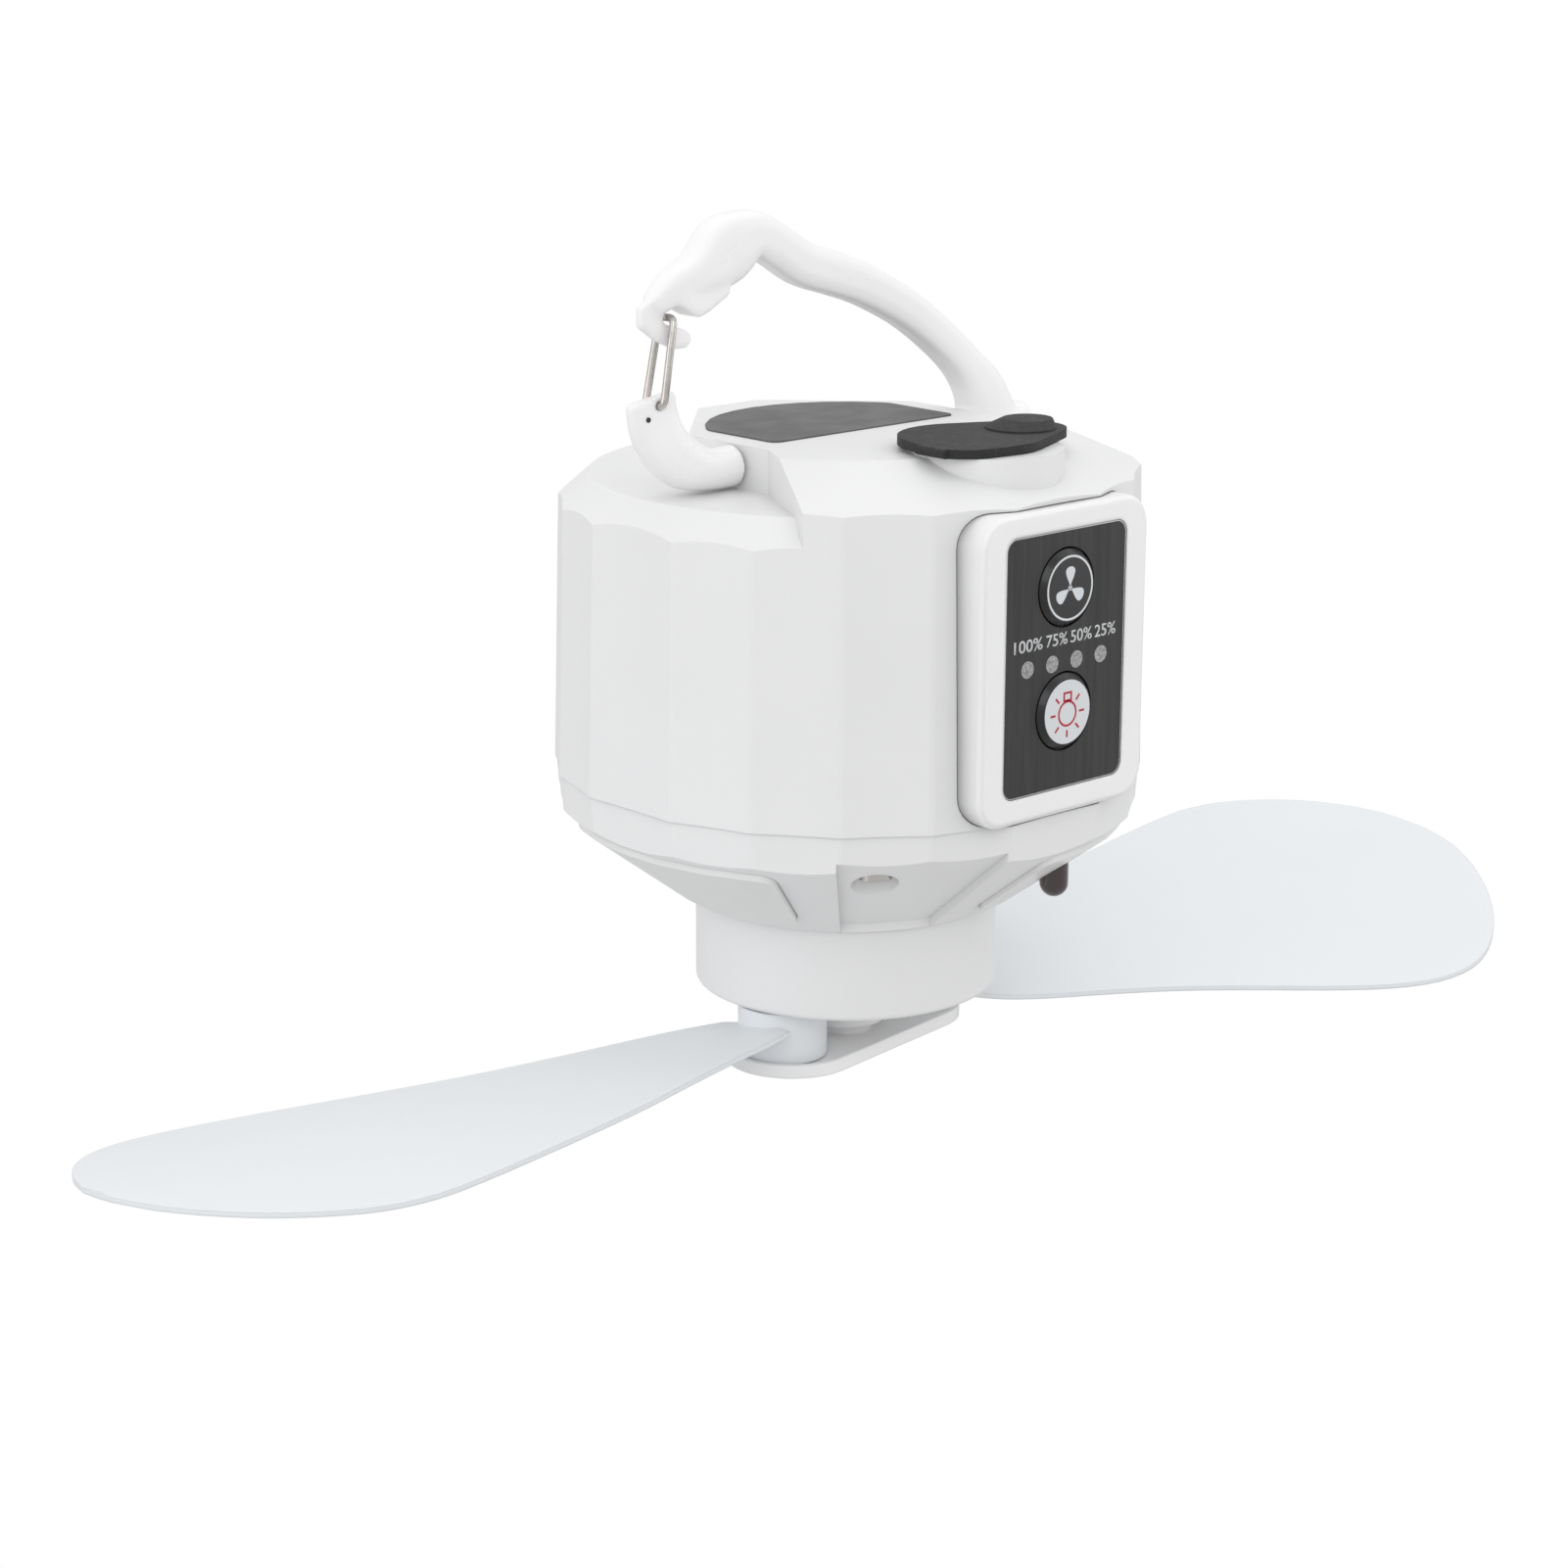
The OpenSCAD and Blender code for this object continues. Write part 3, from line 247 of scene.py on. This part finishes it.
def plastic(name, color, rough, vary=0.012, grain=0.02, edge=0.0, subsurface=0.0, coat=0.0,
            corner_shade=0.0, reach=4 * MM):
    """Moulded plastic with a roughness that varies. vary and grain are the strengths of its flow marks
    and its grain, edge is the radius of its softened edges, and subsurface and coat are weights of the
    shader. Where the colour varies, painted shade darkens it in hollow corners by the amount given, over the
    distance reach."""
    build = MaterialBuilder(name)
    place = build.place()
    if vary:
        dark = tuple(c * (1 - vary) for c in color) + OPAQUE
        light = tuple(min(1, c * (1 + vary * LIGHT_SHARE)) for c in color) + OPAQUE
        flow = build.noise(place, FLOW_SCALE, detail=3)
        tone = build.ramp(flow, (NOISE_LOW, dark), (NOISE_HIGH, light))
        # Painted shade: ambient occlusion darkens the colour in hollow corners.
        if corner_shade:
            tone = build.corners(tone, corner_shade, reach)
        build.feed(tone, "Base Color")
    else:
        build.set(Base_Color=color + OPAQUE)
    gloss = build.noise(place, GLOSS_SCALE, detail=4)
    build.feed(build.spread(gloss, rough - GLOSSIER, rough + DULLER), "Roughness")
    if grain or edge:
        build.bump(build.noise(place, GRAIN_SCALE, detail=2), grain, GRAIN_DEPTH, edge)
    build.set(IOR=PLASTIC_IOR)
    if subsurface:
        build.set(Subsurface_Weight=subsurface, Subsurface_Radius=SCATTER_RADIUS,
                  Subsurface_Scale=SCATTER_SCALE)
    if coat:
        build.set(Coat_Weight=coat, Coat_Roughness=COAT_ROUGHNESS)
    return build.material


def metal(name, color, rough, scale, stretch=(1, 1, 1), amount=0.05, grime=0.0):
    """Metal with fine lines of this noise scale, drawn out by stretch, that change the roughness by this
    amount. grime darkens the patches in its colour."""
    build = MaterialBuilder(name)
    lines = build.noise(build.place(stretch), scale, detail=3)
    dark = tuple(c * (1 - grime - PATCH_SHADE) for c in color) + OPAQUE
    patches = build.noise(build.place(), PATCH_SCALE, detail=4)
    build.feed(build.ramp(patches, (PATCH_DARK, dark), (PATCH_LIGHT, color + OPAQUE)), "Base Color")
    build.feed(build.spread(lines, rough - amount, rough + amount), "Roughness")
    build.bump(lines, LINE_STRENGTH, LINE_DEPTH)
    build.set(Metallic=1.0)
    return build.material


# ---------------------------------------------------------------- materials of their own kind

def face_plate_material():
    """Black anodised sheet, brushed up and down."""
    build = MaterialBuilder("plate_brushed_black")
    lines = build.noise(build.place((1, 1, 0.02)), scale=5200, detail=3, rough=0.7)
    bands = build.noise(build.place((1, 1, 0.05)), scale=700, detail=3)
    brushing = build.maths("MULTIPLY_ADD", bands, 0.5, build.maths("MULTIPLY", lines, 0.5))
    dark = (0.030, 0.030, 0.031, 1)
    light = (0.062, 0.062, 0.063, 1)
    build.feed(build.ramp(brushing, (NOISE_LOW, dark), (NOISE_HIGH, light)), "Base Color")
    build.feed(build.spread(lines, low=0.36, high=0.52), "Roughness")
    build.bump(lines, strength=0.12, distance=0.03 * MM)
    build.set(Metallic=0.55)
    return build.material


def rubber_material():
    """Black moulded rubber with fine grain and pale dust."""
    build = MaterialBuilder("cover_rubber")
    place = build.place()
    clouds = build.noise(place, scale=900, detail=6, rough=0.75)
    specks = build.noise(place, scale=3800, detail=2, rough=0.5)
    black = (0.012, 0.012, 0.013, 1)
    worn = (0.022, 0.022, 0.023, 1)
    dust = (0.16, 0.16, 0.16, 1)
    tone = build.ramp(build.maths("MULTIPLY", clouds, specks), (0.30, black), (0.36, worn), (0.47, dust))
    build.feed(tone, "Base Color")
    build.feed(build.spread(clouds, low=0.55, high=0.78), "Roughness")
    build.bump(specks, strength=0.18, distance=0.08 * MM, edge=0.3 * MM)
    return build.material


def top_plate_material():
    """Dark grey sheet with a fine mottled grain."""
    build = MaterialBuilder("top_plate_grey")
    place = build.place()
    grain = build.noise(place, scale=2400, detail=5, rough=0.8)
    clouds = build.noise(place, scale=120, detail=3)
    dark = (0.060, 0.060, 0.062, 1)
    light = (0.125, 0.125, 0.128, 1)
    mottle = build.maths("MULTIPLY", grain, clouds)
    build.feed(build.ramp(mottle, (0.16, dark), (0.34, light)), "Base Color")
    build.feed(build.spread(grain, low=0.42, high=0.62), "Roughness")
    build.bump(grain, strength=0.15, distance=0.05 * MM)
    return build.material


def light_pipe_material():
    """Grey diffusing plastic with a frosted, cracked-ice grain."""
    build = MaterialBuilder("light_pipe_grey")
    cells = build.node("ShaderNodeTexVoronoi")
    cells.inputs["Scale"].default_value = 2300
    build.link(build.place(), cells.inputs["Vector"])
    ice = cells.outputs["Distance"]
    light = (0.47, 0.47, 0.48, 1)
    dark = (0.22, 0.22, 0.225, 1)
    build.feed(build.ramp(ice, (0.1, light), (0.8, dark)), "Base Color")
    build.bump(ice, strength=0.2, distance=0.08 * MM)
    build.set(Roughness=0.35)
    return build.material


# ---------------------------------------------------------------- all materials, and the nodes' own

MATERIALS = {
    # The shell and the bezel get painted shade in their hollow corners; on the bezel it darkens the flank
    # beside the shell.
    "shell": plastic("shell_satin_white", (0.82, 0.822, 0.825), 0.42, edge=0.2 * MM, subsurface=0.05,
                     corner_shade=0.08),
    "trim": plastic("bezel_satin_white", (0.90, 0.90, 0.90), 0.36, edge=0.9 * MM, subsurface=0.05,
                    corner_shade=0.7, reach=6 * MM),
    "carrier": plastic("carrier_white", (0.90, 0.90, 0.90), 0.36, edge=0.4 * MM, subsurface=0.1),
    "blade": plastic("blade_white", (0.80, 0.825, 0.85), 0.46, vary=0.008, grain=0.015, edge=0.4 * MM,
                     subsurface=0.04),
    "handle": plastic("handle_gloss_white", (0.93, 0.92, 0.925), 0.30, vary=0.0, grain=0.0, coat=0.15),
    "window": plastic("lamp_window_milk", (0.79, 0.795, 0.785), 0.34, vary=0.01, grain=0.0),
    "button": plastic("button_black", (0.012, 0.012, 0.013), 0.24, vary=0.2, edge=0.2 * MM, coat=0.15),
    "white_print": plastic("white_print", (0.69, 0.72, 0.745), 0.5, vary=0.02, grain=0.01),
    "label_print": plastic("label_print", (0.64, 0.65, 0.66), 0.5, vary=0.02, grain=0.01),
    "red_print": plastic("red_print", (0.48, 0.016, 0.035), 0.5, vary=0.04, grain=0.01),
    "board": plastic("solder_mask_green", (0.02, 0.11, 0.05), 0.4, vary=0.15),
    "switch": plastic("switch_black", (0.02, 0.02, 0.022), 0.45, vary=0.1),
    "cells": plastic("cell_wrap_blue", (0.03, 0.10, 0.22), 0.35, vary=0.1),
    "cradle": plastic("cradle_grey", (0.10, 0.105, 0.11), 0.5, vary=0.08),
    "lamp_board": plastic("lamp_board_white", (0.70, 0.74, 0.66), 0.45),
    "led": plastic("led_phosphor", (0.85, 0.70, 0.20), 0.35, vary=0.05),
    "dome": plastic("dome_tinted", (0.035, 0.020, 0.022), 0.10, vary=0.1, grain=0.0, coat=0.8),
    "steel": metal("steel_polished", (0.62, 0.60, 0.57), 0.22, scale=1500),
    "wire": metal("wire_steel", (0.60, 0.575, 0.54), 0.20, scale=2500, stretch=(1, 1, 0.15), amount=0.07,
                  grime=0.1),
    "rod": metal("rod_steel", (0.55, 0.52, 0.48), 0.28, scale=2500, stretch=(0.1, 1, 1), amount=0.07,
                 grime=0.25),
    "rim": metal("plate_cut_edge", (0.55, 0.55, 0.55), 0.25, scale=2000),
    "face_plate": face_plate_material(),
    "rubber": rubber_material(),
    "top_plate": top_plate_material(),
    "pipe": light_pipe_material(),
}

NODE_MATERIAL = {
    "upper_shell": "shell", "lower_shell": "shell", "motor_drum": "shell", "panel_bezel": "trim",
    "face_plate": "face_plate", "charge_lights": "pipe", "control_board": "board", "board_switches": "switch",
    "battery_cells": "cells", "battery_cradle": "cradle", "top_plate": "top_plate", "charge_socket": "steel",
    "socket_board": "board", "lamp_windows": "window", "lamp_board": "lamp_board", "lamp_leds": "led",
    "remote_sensor": "dome", "case_screws": "steel", "motor_can": "steel", "motor_shaft": "rod",
    "blade_carrier": "carrier", "blade_screws": "steel", "blade_a": "blade", "blade_b": "blade",
    "pivot_rod": "rod", "hook_arm": "handle", "gate_base": "handle", "wire_gate": "wire",
    "fan_button": "button", "light_button": "button", "port_cover": "rubber",
}

# Edges that bend by less than this many degrees are shaded smooth, on most nodes and on curved ones.
PLAIN_SMOOTH = 12
CURVED_SMOOTH = {"blade_a": 40, "blade_b": 40, "wire_gate": 60}
JOIN_WITHIN = 0.002 * MM


def smooth_group(degrees):
    """A modifier's node group that joins the vertices which the CAD faces split, and shades the
    result smooth but for the edges sharper than this. The CAD mesh itself stays as it is."""
    group = bpy.data.node_groups.new(f"smooth_{degrees}", "GeometryNodeTree")
    for way in ("INPUT", "OUTPUT"):
        group.interface.new_socket("Geometry", in_out=way, socket_type="NodeSocketGeometry")
    add = group.nodes.new
    link = group.links.new
    start = add("NodeGroupInput")
    join = add("GeometryNodeMergeByDistance")
    join.inputs["Distance"].default_value = JOIN_WITHIN
    drop = add("GeometryNodeRemoveAttribute")
    drop.inputs["Name"].default_value = "custom_normal"
    faces = add("GeometryNodeSetShadeSmooth")
    edges = add("GeometryNodeSetShadeSmooth")
    edges.domain = "EDGE"
    end = add("NodeGroupOutput")
    bend = add("GeometryNodeInputMeshEdgeAngle")
    below = add("FunctionNodeCompare")
    below.operation = "LESS_THAN"
    below.inputs["B"].default_value = math.radians(degrees)
    link(bend.outputs["Unsigned Angle"], below.inputs["A"])
    link(below.outputs["Result"], edges.inputs["Shade Smooth"])
    chain = (start, join, drop, faces, edges, end)
    for earlier, later in zip(chain, chain[1:]):
        link(earlier.outputs[0], later.inputs[0])
    return group


def dress_nodes():
    """Give every CAD node its material and its smooth shading."""
    groups = {angle: smooth_group(angle) for angle in {PLAIN_SMOOTH, *CURVED_SMOOTH.values()}}
    for name, material in NODE_MATERIAL.items():
        node = NODES[name]
        for slot in node.material_slots:
            slot.material = MATERIALS[material]
        angle = CURVED_SMOOTH.get(name, PLAIN_SMOOTH)
        node.modifiers.new("smooth", "NODES").node_group = groups[angle]


dress_nodes()


# ---------------------------------------------------------------- the moulded handle

VOXEL = 0.35 * MM
SOFTEN = 0.5


def moulded(name, body, rounds):
    """A copy of a CAD node in its place, with the edges of the moulding rounded off by so many rounds
    of smoothing. It takes the node's material with its mesh."""
    piece = add_object(name + "_moulded", NODES[name].data.copy())
    cast = piece.modifiers.new("cast", "REMESH")
    cast.mode = "VOXEL"
    cast.voxel_size = VOXEL
    cast.use_smooth_shade = True
    soften = piece.modifiers.new("soften", "SMOOTH")
    soften.factor = SOFTEN
    soften.iterations = rounds
    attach(piece, body)
    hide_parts(name)


moulded("hook_arm", "bail", rounds=14)
moulded("gate_base", "bail", rounds=10)


# ---------------------------------------------------------------- tools for printed and small pieces

# A print stands this far proud of its surface, and is sunk into it by this share of that.
PRINT = 0.03 * MM
SUNK = 0.5
ROUND_POINTS = 64
SMALL_ROUND_POINTS = 24
CORNER_STEPS = 8


def mesh_piece(name, vertices, faces, material, body):
    mesh = bpy.data.meshes.new(name)
    mesh.from_pydata(vertices, [], faces)
    mesh.materials.append(MATERIALS[material])
    piece = add_object(name, mesh)
    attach(piece, body)
    return piece


def slab_faces(start, count):
    """Faces of a slab whose loops of count vertices follow each other: front, back."""
    faces = [tuple(range(start, start + count)),
             tuple(range(start + 2 * count - 1, start + count - 1, -1))]
    for this in range(count):
        after = (this + 1) % count
        faces.append((start + after, start + this, start + count + this, start + count + after))
    return faces


def ring_faces(start, count):
    """Faces of a ring whose loops follow each other: outer front, outer back, inner front, inner back."""
    front, back, hole_front, hole_back = (start + count * loop for loop in range(4))
    faces = []
    for this in range(count):
        after = (this + 1) % count
        faces.append((front + this, front + after, hole_front + after, hole_front + this))
        faces.append((front + after, front + this, back + this, back + after))
        faces.append((hole_front + this, hole_front + after, hole_back + after, hole_back + this))
        faces.append((back + this, hole_back + this, hole_back + after, back + after))
    return faces


def prints(name, shapes, x, z, y, thick, material, body):
    """Flat shapes on a surface that faces -Y and lies at y. x and z place them. Each shape is a closed
    outline in millimetres, or a pair of outlines with as many points each for a ring."""
    vertices = []
    faces = []
    for shape in shapes:
        is_ring = isinstance(shape, tuple)
        loops = shape if is_ring else (shape,)
        join = ring_faces if is_ring else slab_faces
        start = len(vertices)
        for loop in loops:
            for depth in (y - thick, y + thick * SUNK):
                vertices += [(x + across * MM, depth, z + up * MM) for across, up in loop]
        faces += join(start, len(loops[0]))
    piece = mesh_piece(name, vertices, faces, material, body)
    edit = bmesh.new()
    edit.from_mesh(piece.data)
    bmesh.ops.recalc_face_normals(edit, faces=edit.faces)
    edit.to_mesh(piece.data)
    edit.free()


def circle(radius, count=ROUND_POINTS, lower=0.0):
    """A circle round the origin, or this much lower."""
    angles = [2 * math.pi * step / count for step in range(count)]
    return [(radius * math.cos(angle), radius * math.sin(angle) - lower) for angle in angles]


def turned(points, degrees):
    """The points turned round the origin."""
    angle = math.radians(degrees)
    cos = math.cos(angle)
    sin = math.sin(angle)
    return [(along * cos - aside * sin, along * sin + aside * cos) for along, aside in points]


def rounded_loop(width, height, radius):
    """A rectangle round the origin with rounded corners."""
    far = width / 2 - radius
    high = height / 2 - radius
    points = []
    for x, y, first in ((far, high, 0), (-far, high, 90), (-far, -high, 180), (far, -high, 270)):
        for step in range(CORNER_STEPS + 1):
            angle = math.radians(first + 90 * step / CORNER_STEPS)
            points.append((x + radius * math.cos(angle), y + radius * math.sin(angle)))
    return points


def box_loop(half_width, bottom, top):
    return [(-half_width, bottom), (half_width, bottom), (half_width, top), (-half_width, top)]


def middle_and_low(node):
    """The middle of a node's box, and its lowest corner."""
    low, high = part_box(node)
    return (low + high) / 2, low


# ---------------------------------------------------------------- marks of the two buttons, in millimetres

# A ring round three petals and a hub. A petal's outline is given along its length and to one side.
FAN_RING = (5.02, 4.68)
FAN_HUB = 0.42
PETAL_ANGLES = (90, 210, 330)
PETAL_SIDE = [(0.15, 0.10), (0.6, 0.16), (1.0, 0.36), (1.5, 0.66), (2.0, 0.88), (2.5, 1.02), (2.85, 0.96),
              (3.1, 0.70), (3.24, 0.38), (3.3, 0.0)]
# A disc, and on it a bulb that stands a little low, with its cap above and rays round it.
DISC = 4.98
BULB = (2.05, 1.72)
BULB_LOWER = 0.25
# The cap's two outlines: half width, bottom and top.
CAP_OUTER = (0.95, 1.62, 3.15)
CAP_INNER = (0.60, 1.95, 2.82)
RAY_START = 2.62
RAY_END = 3.72
RAY_WIDTH = 0.34
RAY_ANGLES = (0, 45, 135, 180, 225, 270, 315)


def petal(degrees):
    one_side = [(along, -aside) for along, aside in PETAL_SIDE]
    return turned(one_side + PETAL_SIDE[-2::-1], degrees)


def ray(degrees):
    half = RAY_WIDTH / 2
    bar = [(RAY_START, -half), (RAY_END, -half), (RAY_END, half), (RAY_START, half)]
    return [(across, up - BULB_LOWER) for across, up in turned(bar, degrees)]


def ring(radii, lower=0.0):
    return tuple(circle(radius, lower=lower) for radius in radii)


def fan_mark():
    middle, low = middle_and_low("fan_button")
    blades = [petal(angle) for angle in PETAL_ANGLES] + [circle(FAN_HUB, SMALL_ROUND_POINTS)]
    prints("fan_mark_ring", [ring(FAN_RING)], middle.x, middle.z, low.y, PRINT,
           "white_print", "fan_key")
    prints("fan_mark_blades", blades, middle.x, middle.z, low.y, PRINT,
           "white_print", "fan_key")


def light_mark():
    middle, low = middle_and_low("light_button")
    cap = (box_loop(*CAP_OUTER), box_loop(*CAP_INNER))
    bulb = [ring(BULB, BULB_LOWER), cap] + [ray(angle) for angle in RAY_ANGLES]
    prints("light_mark_disc", [circle(DISC)], middle.x, middle.z, low.y, PRINT,
           "white_print", "light_key")
    prints("light_mark_bulb", bulb, middle.x, middle.z, low.y - PRINT, PRINT,
           "red_print", "light_key")


fan_mark()
light_mark()


# ---------------------------------------------------------------- marks and edge of the face plate

# Text, place from the plate's middle and width of the four percent marks, in millimetres.
CHARGE_MARKS = (("100%", -8.05, 6.2), ("75%", -1.8, 4.7), ("50%", 3.6, 4.7), ("25%", 8.95, 4.7))
CHARGE_MARK_RISE = 3.35 * MM
CHARGE_MARK_HEIGHT = 1.95 * MM
# The strokes are made bolder by this share of the letters' size.
LETTER_SIZE = 1.0
LETTER_BOLDER = 0.009
LETTER_STEPS = 6
RIM_WIDTH = 26.2
RIM_HEIGHT = 40.0
RIM_CORNER = 2.0
RIM_BREADTH = 0.15
RIM_INNER_CORNER = 1.9
RIM_PROUD = 0.04 * MM

plate_middle, plate_low = middle_and_low("face_plate")


def letters(text):
    """The flat mesh of a text."""
    curve = bpy.data.curves.new("mark", "FONT")
    curve.body = text
    curve.size = LETTER_SIZE
    curve.resolution_u = LETTER_STEPS
    curve.offset = LETTER_BOLDER
    draft = add_object("mark_tmp", curve)
    bpy.context.view_layer.update()
    flat = bpy.data.meshes.new_from_object(draft.evaluated_get(bpy.context.evaluated_depsgraph_get()))
    bpy.data.objects.remove(draft)
    return flat


def label(text, x, width, z, height):
    """A percent mark printed above its charge light, stretched to this width and height."""
    flat = letters(text)
    xs = [vertex.co.x for vertex in flat.vertices]
    ys = [vertex.co.y for vertex in flat.vertices]
    stretch_x = width / (max(xs) - min(xs))
    stretch_y = height / (max(ys) - min(ys))
    middle_x = (max(xs) + min(xs)) / 2
    middle_y = (max(ys) + min(ys)) / 2
    edit = bmesh.new()
    edit.from_mesh(flat)
    for vertex in edit.verts:
        across = (vertex.co.x - middle_x) * stretch_x
        up = (vertex.co.y - middle_y) * stretch_y
        vertex.co = Vector((x + across, plate_low.y - PRINT, z + up))
    extruded = bmesh.ops.extrude_face_region(edit, geom=edit.faces[:])
    for vertex in (item for item in extruded["geom"] if isinstance(item, bmesh.types.BMVert)):
        vertex.co.y += (1 + SUNK) * PRINT
    bmesh.ops.recalc_face_normals(edit, faces=edit.faces)
    mesh = bpy.data.meshes.new("mark_" + text.strip("%"))
    edit.to_mesh(mesh)
    edit.free()
    mesh.materials.append(MATERIALS["label_print"])
    piece = add_object("charge_mark_" + text.strip("%"), mesh)
    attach(piece, "housing")


def plate_rim():
    """The bright cut edge round the face plate."""
    outer = rounded_loop(RIM_WIDTH, RIM_HEIGHT, RIM_CORNER)
    inner = rounded_loop(RIM_WIDTH - 2 * RIM_BREADTH, RIM_HEIGHT - 2 * RIM_BREADTH, RIM_INNER_CORNER)
    prints("plate_cut_edge", [(outer, inner)], plate_middle.x, plate_middle.z, plate_low.y, RIM_PROUD,
           "rim", "housing")


for text, place, width in CHARGE_MARKS:
    label(text, plate_middle.x + place * MM, width * MM,
          plate_middle.z + CHARGE_MARK_RISE, CHARGE_MARK_HEIGHT)
plate_rim()


# ---------------------------------------------------------------- painted shade of the blind hole in the handle's foot

# The small hole beside the foot of the front wire, which the rounding of the foot closes. A black disc of
# painted shade stands for the hole's dark inside, left of the wire's hinge and below it. Its depth is set
# from the front of the CAD foot, which is the foremost vertex within HOLE_NEAR of it.
HOLE_RADIUS = 0.4
HOLE_LEFT = 2.5 * MM
HOLE_BELOW = 1.8 * MM
HOLE_NEAR = 0.6 * MM
HOLE_SET_BACK = 0.1 * MM
HOLE_THICK = 0.15 * MM


def foot_hole_shade():
    hinge = next(joint for joint in frame["joints"] if joint["name"] == "gate_hinge")
    hinge_x, _, hinge_z = hinge["pos_m"]
    x = hinge_x - HOLE_LEFT
    z = hinge_z - HOLE_BELOW
    front = min(vertex.co.y for vertex in NODES["gate_base"].data.vertices
                if math.hypot(vertex.co.x - x, vertex.co.z - z) < HOLE_NEAR)
    # A black disc of painted shade, where the hole's dark inside would be.
    prints("foot_hole_shade", [circle(HOLE_RADIUS, SMALL_ROUND_POINTS)], x, z, front + HOLE_SET_BACK, HOLE_THICK,
           "switch", "bail")


foot_hole_shade()


# ---------------------------------------------------------------- stage and light

WHITE = (1, 1, 1, 1)
# What the camera sees of the floor and the world, and the light that each gives the object.
SEEN = 1.0
FLOOR_LIGHT = 0.66
WORLD_LIGHT = 0.85
# The floor lies well below the object, which hangs.
FLOOR_HALF = 40.0
FLOOR_LEVEL = -0.42

# All soft lights face this place. Name, place, width and height, and power of each.
LIT_PLACE = Vector((0.021, 0.0, -0.06))
LIGHTS = (
    ("key", (-0.65, -0.85, 0.60), (0.9, 0.7), 2.1),
    ("left", (-1.05, 0.25, 0.25), (0.8, 0.9), 2.0),
    ("right", (0.95, -0.65, 0.10), (0.8, 0.8), 1.3),
    ("top", (0.45, 0.05, 0.95), (1.2, 1.2), 1.8),
)


def white_when_seen(tree, output_kind, light_kind, light):
    """Fill a node tree so that the camera sees white and everything else gets this much light."""
    tree.nodes.clear()
    output = tree.nodes.new(output_kind)
    path = tree.nodes.new("ShaderNodeLightPath")
    mix = tree.nodes.new("ShaderNodeMixShader")
    tree.links.new(path.outputs["Is Camera Ray"], mix.inputs["Fac"])
    for socket, strength in zip(mix.inputs[1:], (light, SEEN)):
        source = tree.nodes.new(light_kind)
        source.inputs["Color"].default_value = WHITE
        source.inputs["Strength"].default_value = strength
        tree.links.new(source.outputs[0], socket)
    tree.links.new(mix.outputs["Shader"], output.inputs["Surface"])


def make_floor():
    mesh = bpy.data.meshes.new("floor")
    signs = ((-1, -1), (1, -1), (1, 1), (-1, 1))
    corners = [(x * FLOOR_HALF, y * FLOOR_HALF, FLOOR_LEVEL) for x, y in signs]
    mesh.from_pydata(corners, [], [(0, 1, 2, 3)])
    material = bpy.data.materials.new("floor_white")
    material.use_nodes = True
    white_when_seen(material.node_tree, "ShaderNodeOutputMaterial", "ShaderNodeEmission", FLOOR_LIGHT)
    mesh.materials.append(material)
    floor = add_object("floor", mesh)


def make_world():
    world = bpy.data.worlds.new("studio")
    bpy.context.scene.world = world
    world.use_nodes = True
    white_when_seen(world.node_tree, "ShaderNodeOutputWorld", "ShaderNodeBackground", WORLD_LIGHT)


def make_light(name, place, size, power):
    data = bpy.data.lights.new(name, "AREA")
    data.shape = "RECTANGLE"
    data.size, data.size_y = size
    data.energy = power
    light = add_object(name, data)
    light.location = place
    light.rotation_euler = (LIT_PLACE - Vector(place)).to_track_quat("-Z", "Y").to_euler()


make_floor()
make_world()
for name, place, size, power in LIGHTS:
    make_light(name, place, size, power)

bpy.context.scene.view_settings.view_transform = "Standard"

bpy.context.view_layer.update()
